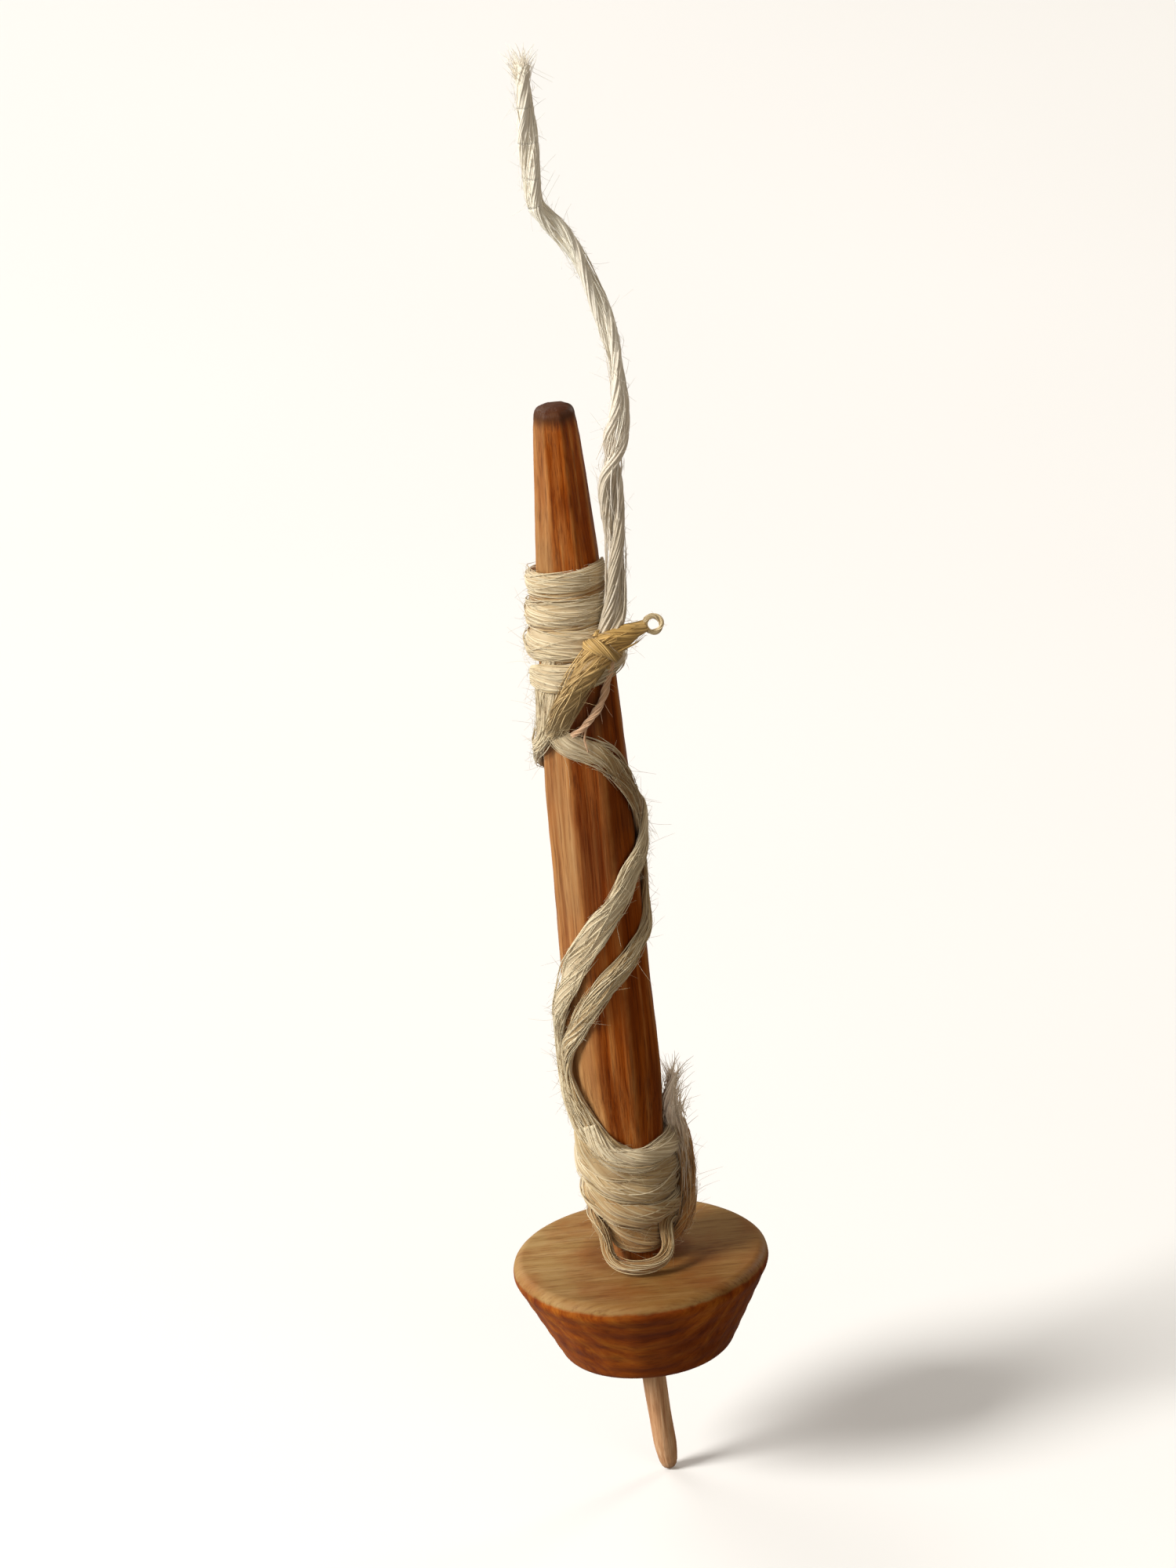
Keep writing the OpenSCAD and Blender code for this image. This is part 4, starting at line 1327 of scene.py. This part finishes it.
# name, the body it rides or the two bodies it lies between, the CAD piece it replaces
LEADER_PIECES = (("leader_low_yarn", ("spindle",), "leader_lower"),
                 ("leader_spin_yarn", ("spindle", "upper_leader"), "leader_upper"),
                 ("leader_side_yarn", ("upper_leader", "link"), "leader_link"),
                 ("leader_fore_yarn", ("link", "held_end"), None),
                 ("leader_end_yarn", ("held_end",), "leader_end"))
# half gap between its plies, and radius: height, value
LEADER_GAP = [(33, 0.02), (35, 0.05), (38, 0.06), (39.3, 0.14), (40.8, 0.22), (42.2, 0.14),
              (44, 0.03), (46, 0.03), (49, 0.03), (52, 0.02), (60, 0.02)]
LEADER_RADIUS = [(33, 0.42), (36, 0.38), (38.5, 0.35), (40.5, 0.37), (42.5, 0.32), (44, 0.32),
                 (52, 0.36), (60, 0.40)]


def build_leader():
    """One doubled yarn, cut where its lengths pass from body to body."""
    on_axis = [(0.12, 0, SPIN_Z - 0.50), (0, 0, SPIN_Z - 0.05), (0, 0, SPIN_Z + 0.8),
               (0, 0, SIDE_Z), (0, 0, FORE_Z), (0, 0, FORE_Z + 1.2), (0.02, 0, LEADER_TOP)]
    path = catmull(np.vstack([raised(LEADER), on_axis]), 10)
    dist = arc_length(path)

    def by_height(table):
        values = np.interp(path[:, 2], *np.array(table).T)
        return np.interp(np.linspace(0, 1, 60), dist / dist[-1], values)

    radius = by_height(LEADER_RADIUS)
    yarn = Strand(path, radius, radius, seed=501, ref=(0, 1, 0), pitch=8.5, phase=0.4,
                  spread=0.42, ply=0.66, loose=by_height(LEADER_GAP), lane_r=0.22,
                  fibre_pitch=6.5, ends=(0.5, 0.75), rough=1.2,
                  tone=(0.02, 0.08, 0.60, 1.0, 1.0, 0.9))
    yarn.wisps(150, reach=(0.4, 1.02), length=(2, 7), tone=0.75)
    yarn.fuzz(22)
    z = yarn.path[:, 2]
    lower_half = np.arange(len(z)) < len(z) * 0.5        # holds none of the cuts
    cuts = [int(np.argmin(np.abs(z - cut) + lower_half * 99)) for cut in LEADER_CUTS]
    cuts = [0, *cuts, len(z) - 1]
    for (name, bodies, node), start, end in zip(LEADER_PIECES, cuts, cuts[1:]):
        part = Part()
        yarn.into(part, start, end)
        if node == "leader_end":
            tuft(part, np.array([0, 0, LEADER_TOP]), along=(0, 0, 1), wide=0.34, count=110,
                 seed=15, reach=(0.05, 0.55), back=(0.1, 1.1), radius=(0.011, 0.030),
                 splay=0.34)
        ob = part.build(name, MAT_LEADER, flat_caps=True)
        if len(bodies) == 1:
            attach(ob, bodies[0])
        else:
            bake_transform(ob)
        if node:
            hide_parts(node)


build_cop()
build_tail()
build_risers()
build_hitch()
build_stub()
build_thread()
build_leader()


# ---------------------------------------------------------------------------------------------
# Stage, lights and camera, in metres
# ---------------------------------------------------------------------------------------------
def build_floor():
    half = 3
    z = (PEG_LO[2] - 0.05) * MM
    mesh = bpy.data.meshes.new("floor")
    mesh.from_pydata([(-half, -half, z), (half, -half, z), (half, half, z), (-half, half, z)],
                     [], [(0, 1, 2, 3)])
    floor = bpy.data.objects.new("floor", mesh)
    scene.collection.objects.link(floor)
    k = Nodes("pale_floor")
    colour = k.ramp(k.noise((0.01, 0.01, 0.01), detail=2), (0.3, (0.80, 0.79, 0.775)),
                    (0.7, (0.84, 0.83, 0.815)))
    mesh.materials.append(k.finish(colour, 0.9, spec=0.1))
    floor.visible_diffuse = False
    floor.visible_glossy = False


def build_world():
    """Surroundings that fade from pale grey on the left to dark brown on the right."""
    world = bpy.data.worlds.new("studio")
    scene.world = world
    world.use_nodes = True
    nodes, links = world.node_tree.nodes, world.node_tree.links
    coords = nodes.new("ShaderNodeTexCoord")
    split = nodes.new("ShaderNodeSeparateXYZ")
    ramp = nodes.new("ShaderNodeValToRGB")
    spread = nodes.new("ShaderNodeMapRange")
    spread.inputs["From Min"].default_value = -1.0
    spread.inputs["From Max"].default_value = 1.0
    links.new(coords.outputs["Generated"], split.inputs[0])
    links.new(split.outputs["X"], spread.inputs[0])
    links.new(spread.outputs[0], ramp.inputs[0])
    left, right = ramp.color_ramp.elements
    left.position, left.color = 0.10, (0.50, 0.498, 0.488, 1)
    right.position, right.color = 0.80, (0.082, 0.068, 0.050, 1)
    background = nodes["Background"]
    links.new(ramp.outputs[0], background.inputs[0])
    background.inputs[1].default_value = 1.0


def area(name, where, size, power, colour):
    """A round light aimed at the middle of the spindle."""
    light = bpy.data.lights.new(name, "AREA")
    light.shape = "DISK"
    light.size, light.energy, light.color = size, power, colour
    ob = bpy.data.objects.new(name, light)
    scene.collection.objects.link(ob)
    ob.location = where
    aim = Vector((0, 0, 0.026)) - Vector(where)
    ob.rotation_euler = aim.to_track_quat("-Z", "Y").to_euler()


def build_camera():
    """Looks along +Y and down, rolled so that the spindle leans a little."""
    elevation, roll = math.radians(23.5), math.radians(5.33)
    distance, view_height = 0.45, 0.0655
    aim = Vector((0.0, 0, 0.0262))
    forward = Vector((0, math.cos(elevation), -math.sin(elevation)))
    right = Vector((1, 0, 0))
    up = right.cross(forward)
    rolled_up = up * math.cos(roll) + right * math.sin(roll)
    rolled_right = right * math.cos(roll) - up * math.sin(roll)
    camera = bpy.data.cameras.new("camera")
    camera.sensor_fit = "VERTICAL"
    camera.angle = 2 * math.atan(view_height / 2 / distance)
    camera.clip_start, camera.clip_end = 0.01, 20
    ob = bpy.data.objects.new("camera", camera)
    scene.collection.objects.link(ob)
    turn = Matrix((rolled_right, rolled_up, -forward)).transposed()
    ob.matrix_world = Matrix.Translation(aim - forward * distance) @ turn.to_4x4()
    scene.camera = ob


build_floor()
build_world()
area("key", where=(-0.44, -0.16, 0.34), size=0.24, power=4.4, colour=(1.0, 0.985, 0.95))
area("fill", where=(0.24, -0.58, 0.24), size=0.50, power=1.0, colour=(1.0, 0.87, 0.72))
area("back", where=(-0.25, 0.40, 0.30), size=0.30, power=0.8, colour=(1.0, 0.98, 0.96))
area("rim", where=(0.36, 0.34, 0.16), size=0.20, power=0.9, colour=(1.0, 0.90, 0.78))
build_camera()
scene.view_settings.view_transform = "Standard"
scene.view_settings.look = "None"
scene.view_settings.exposure = 0.0
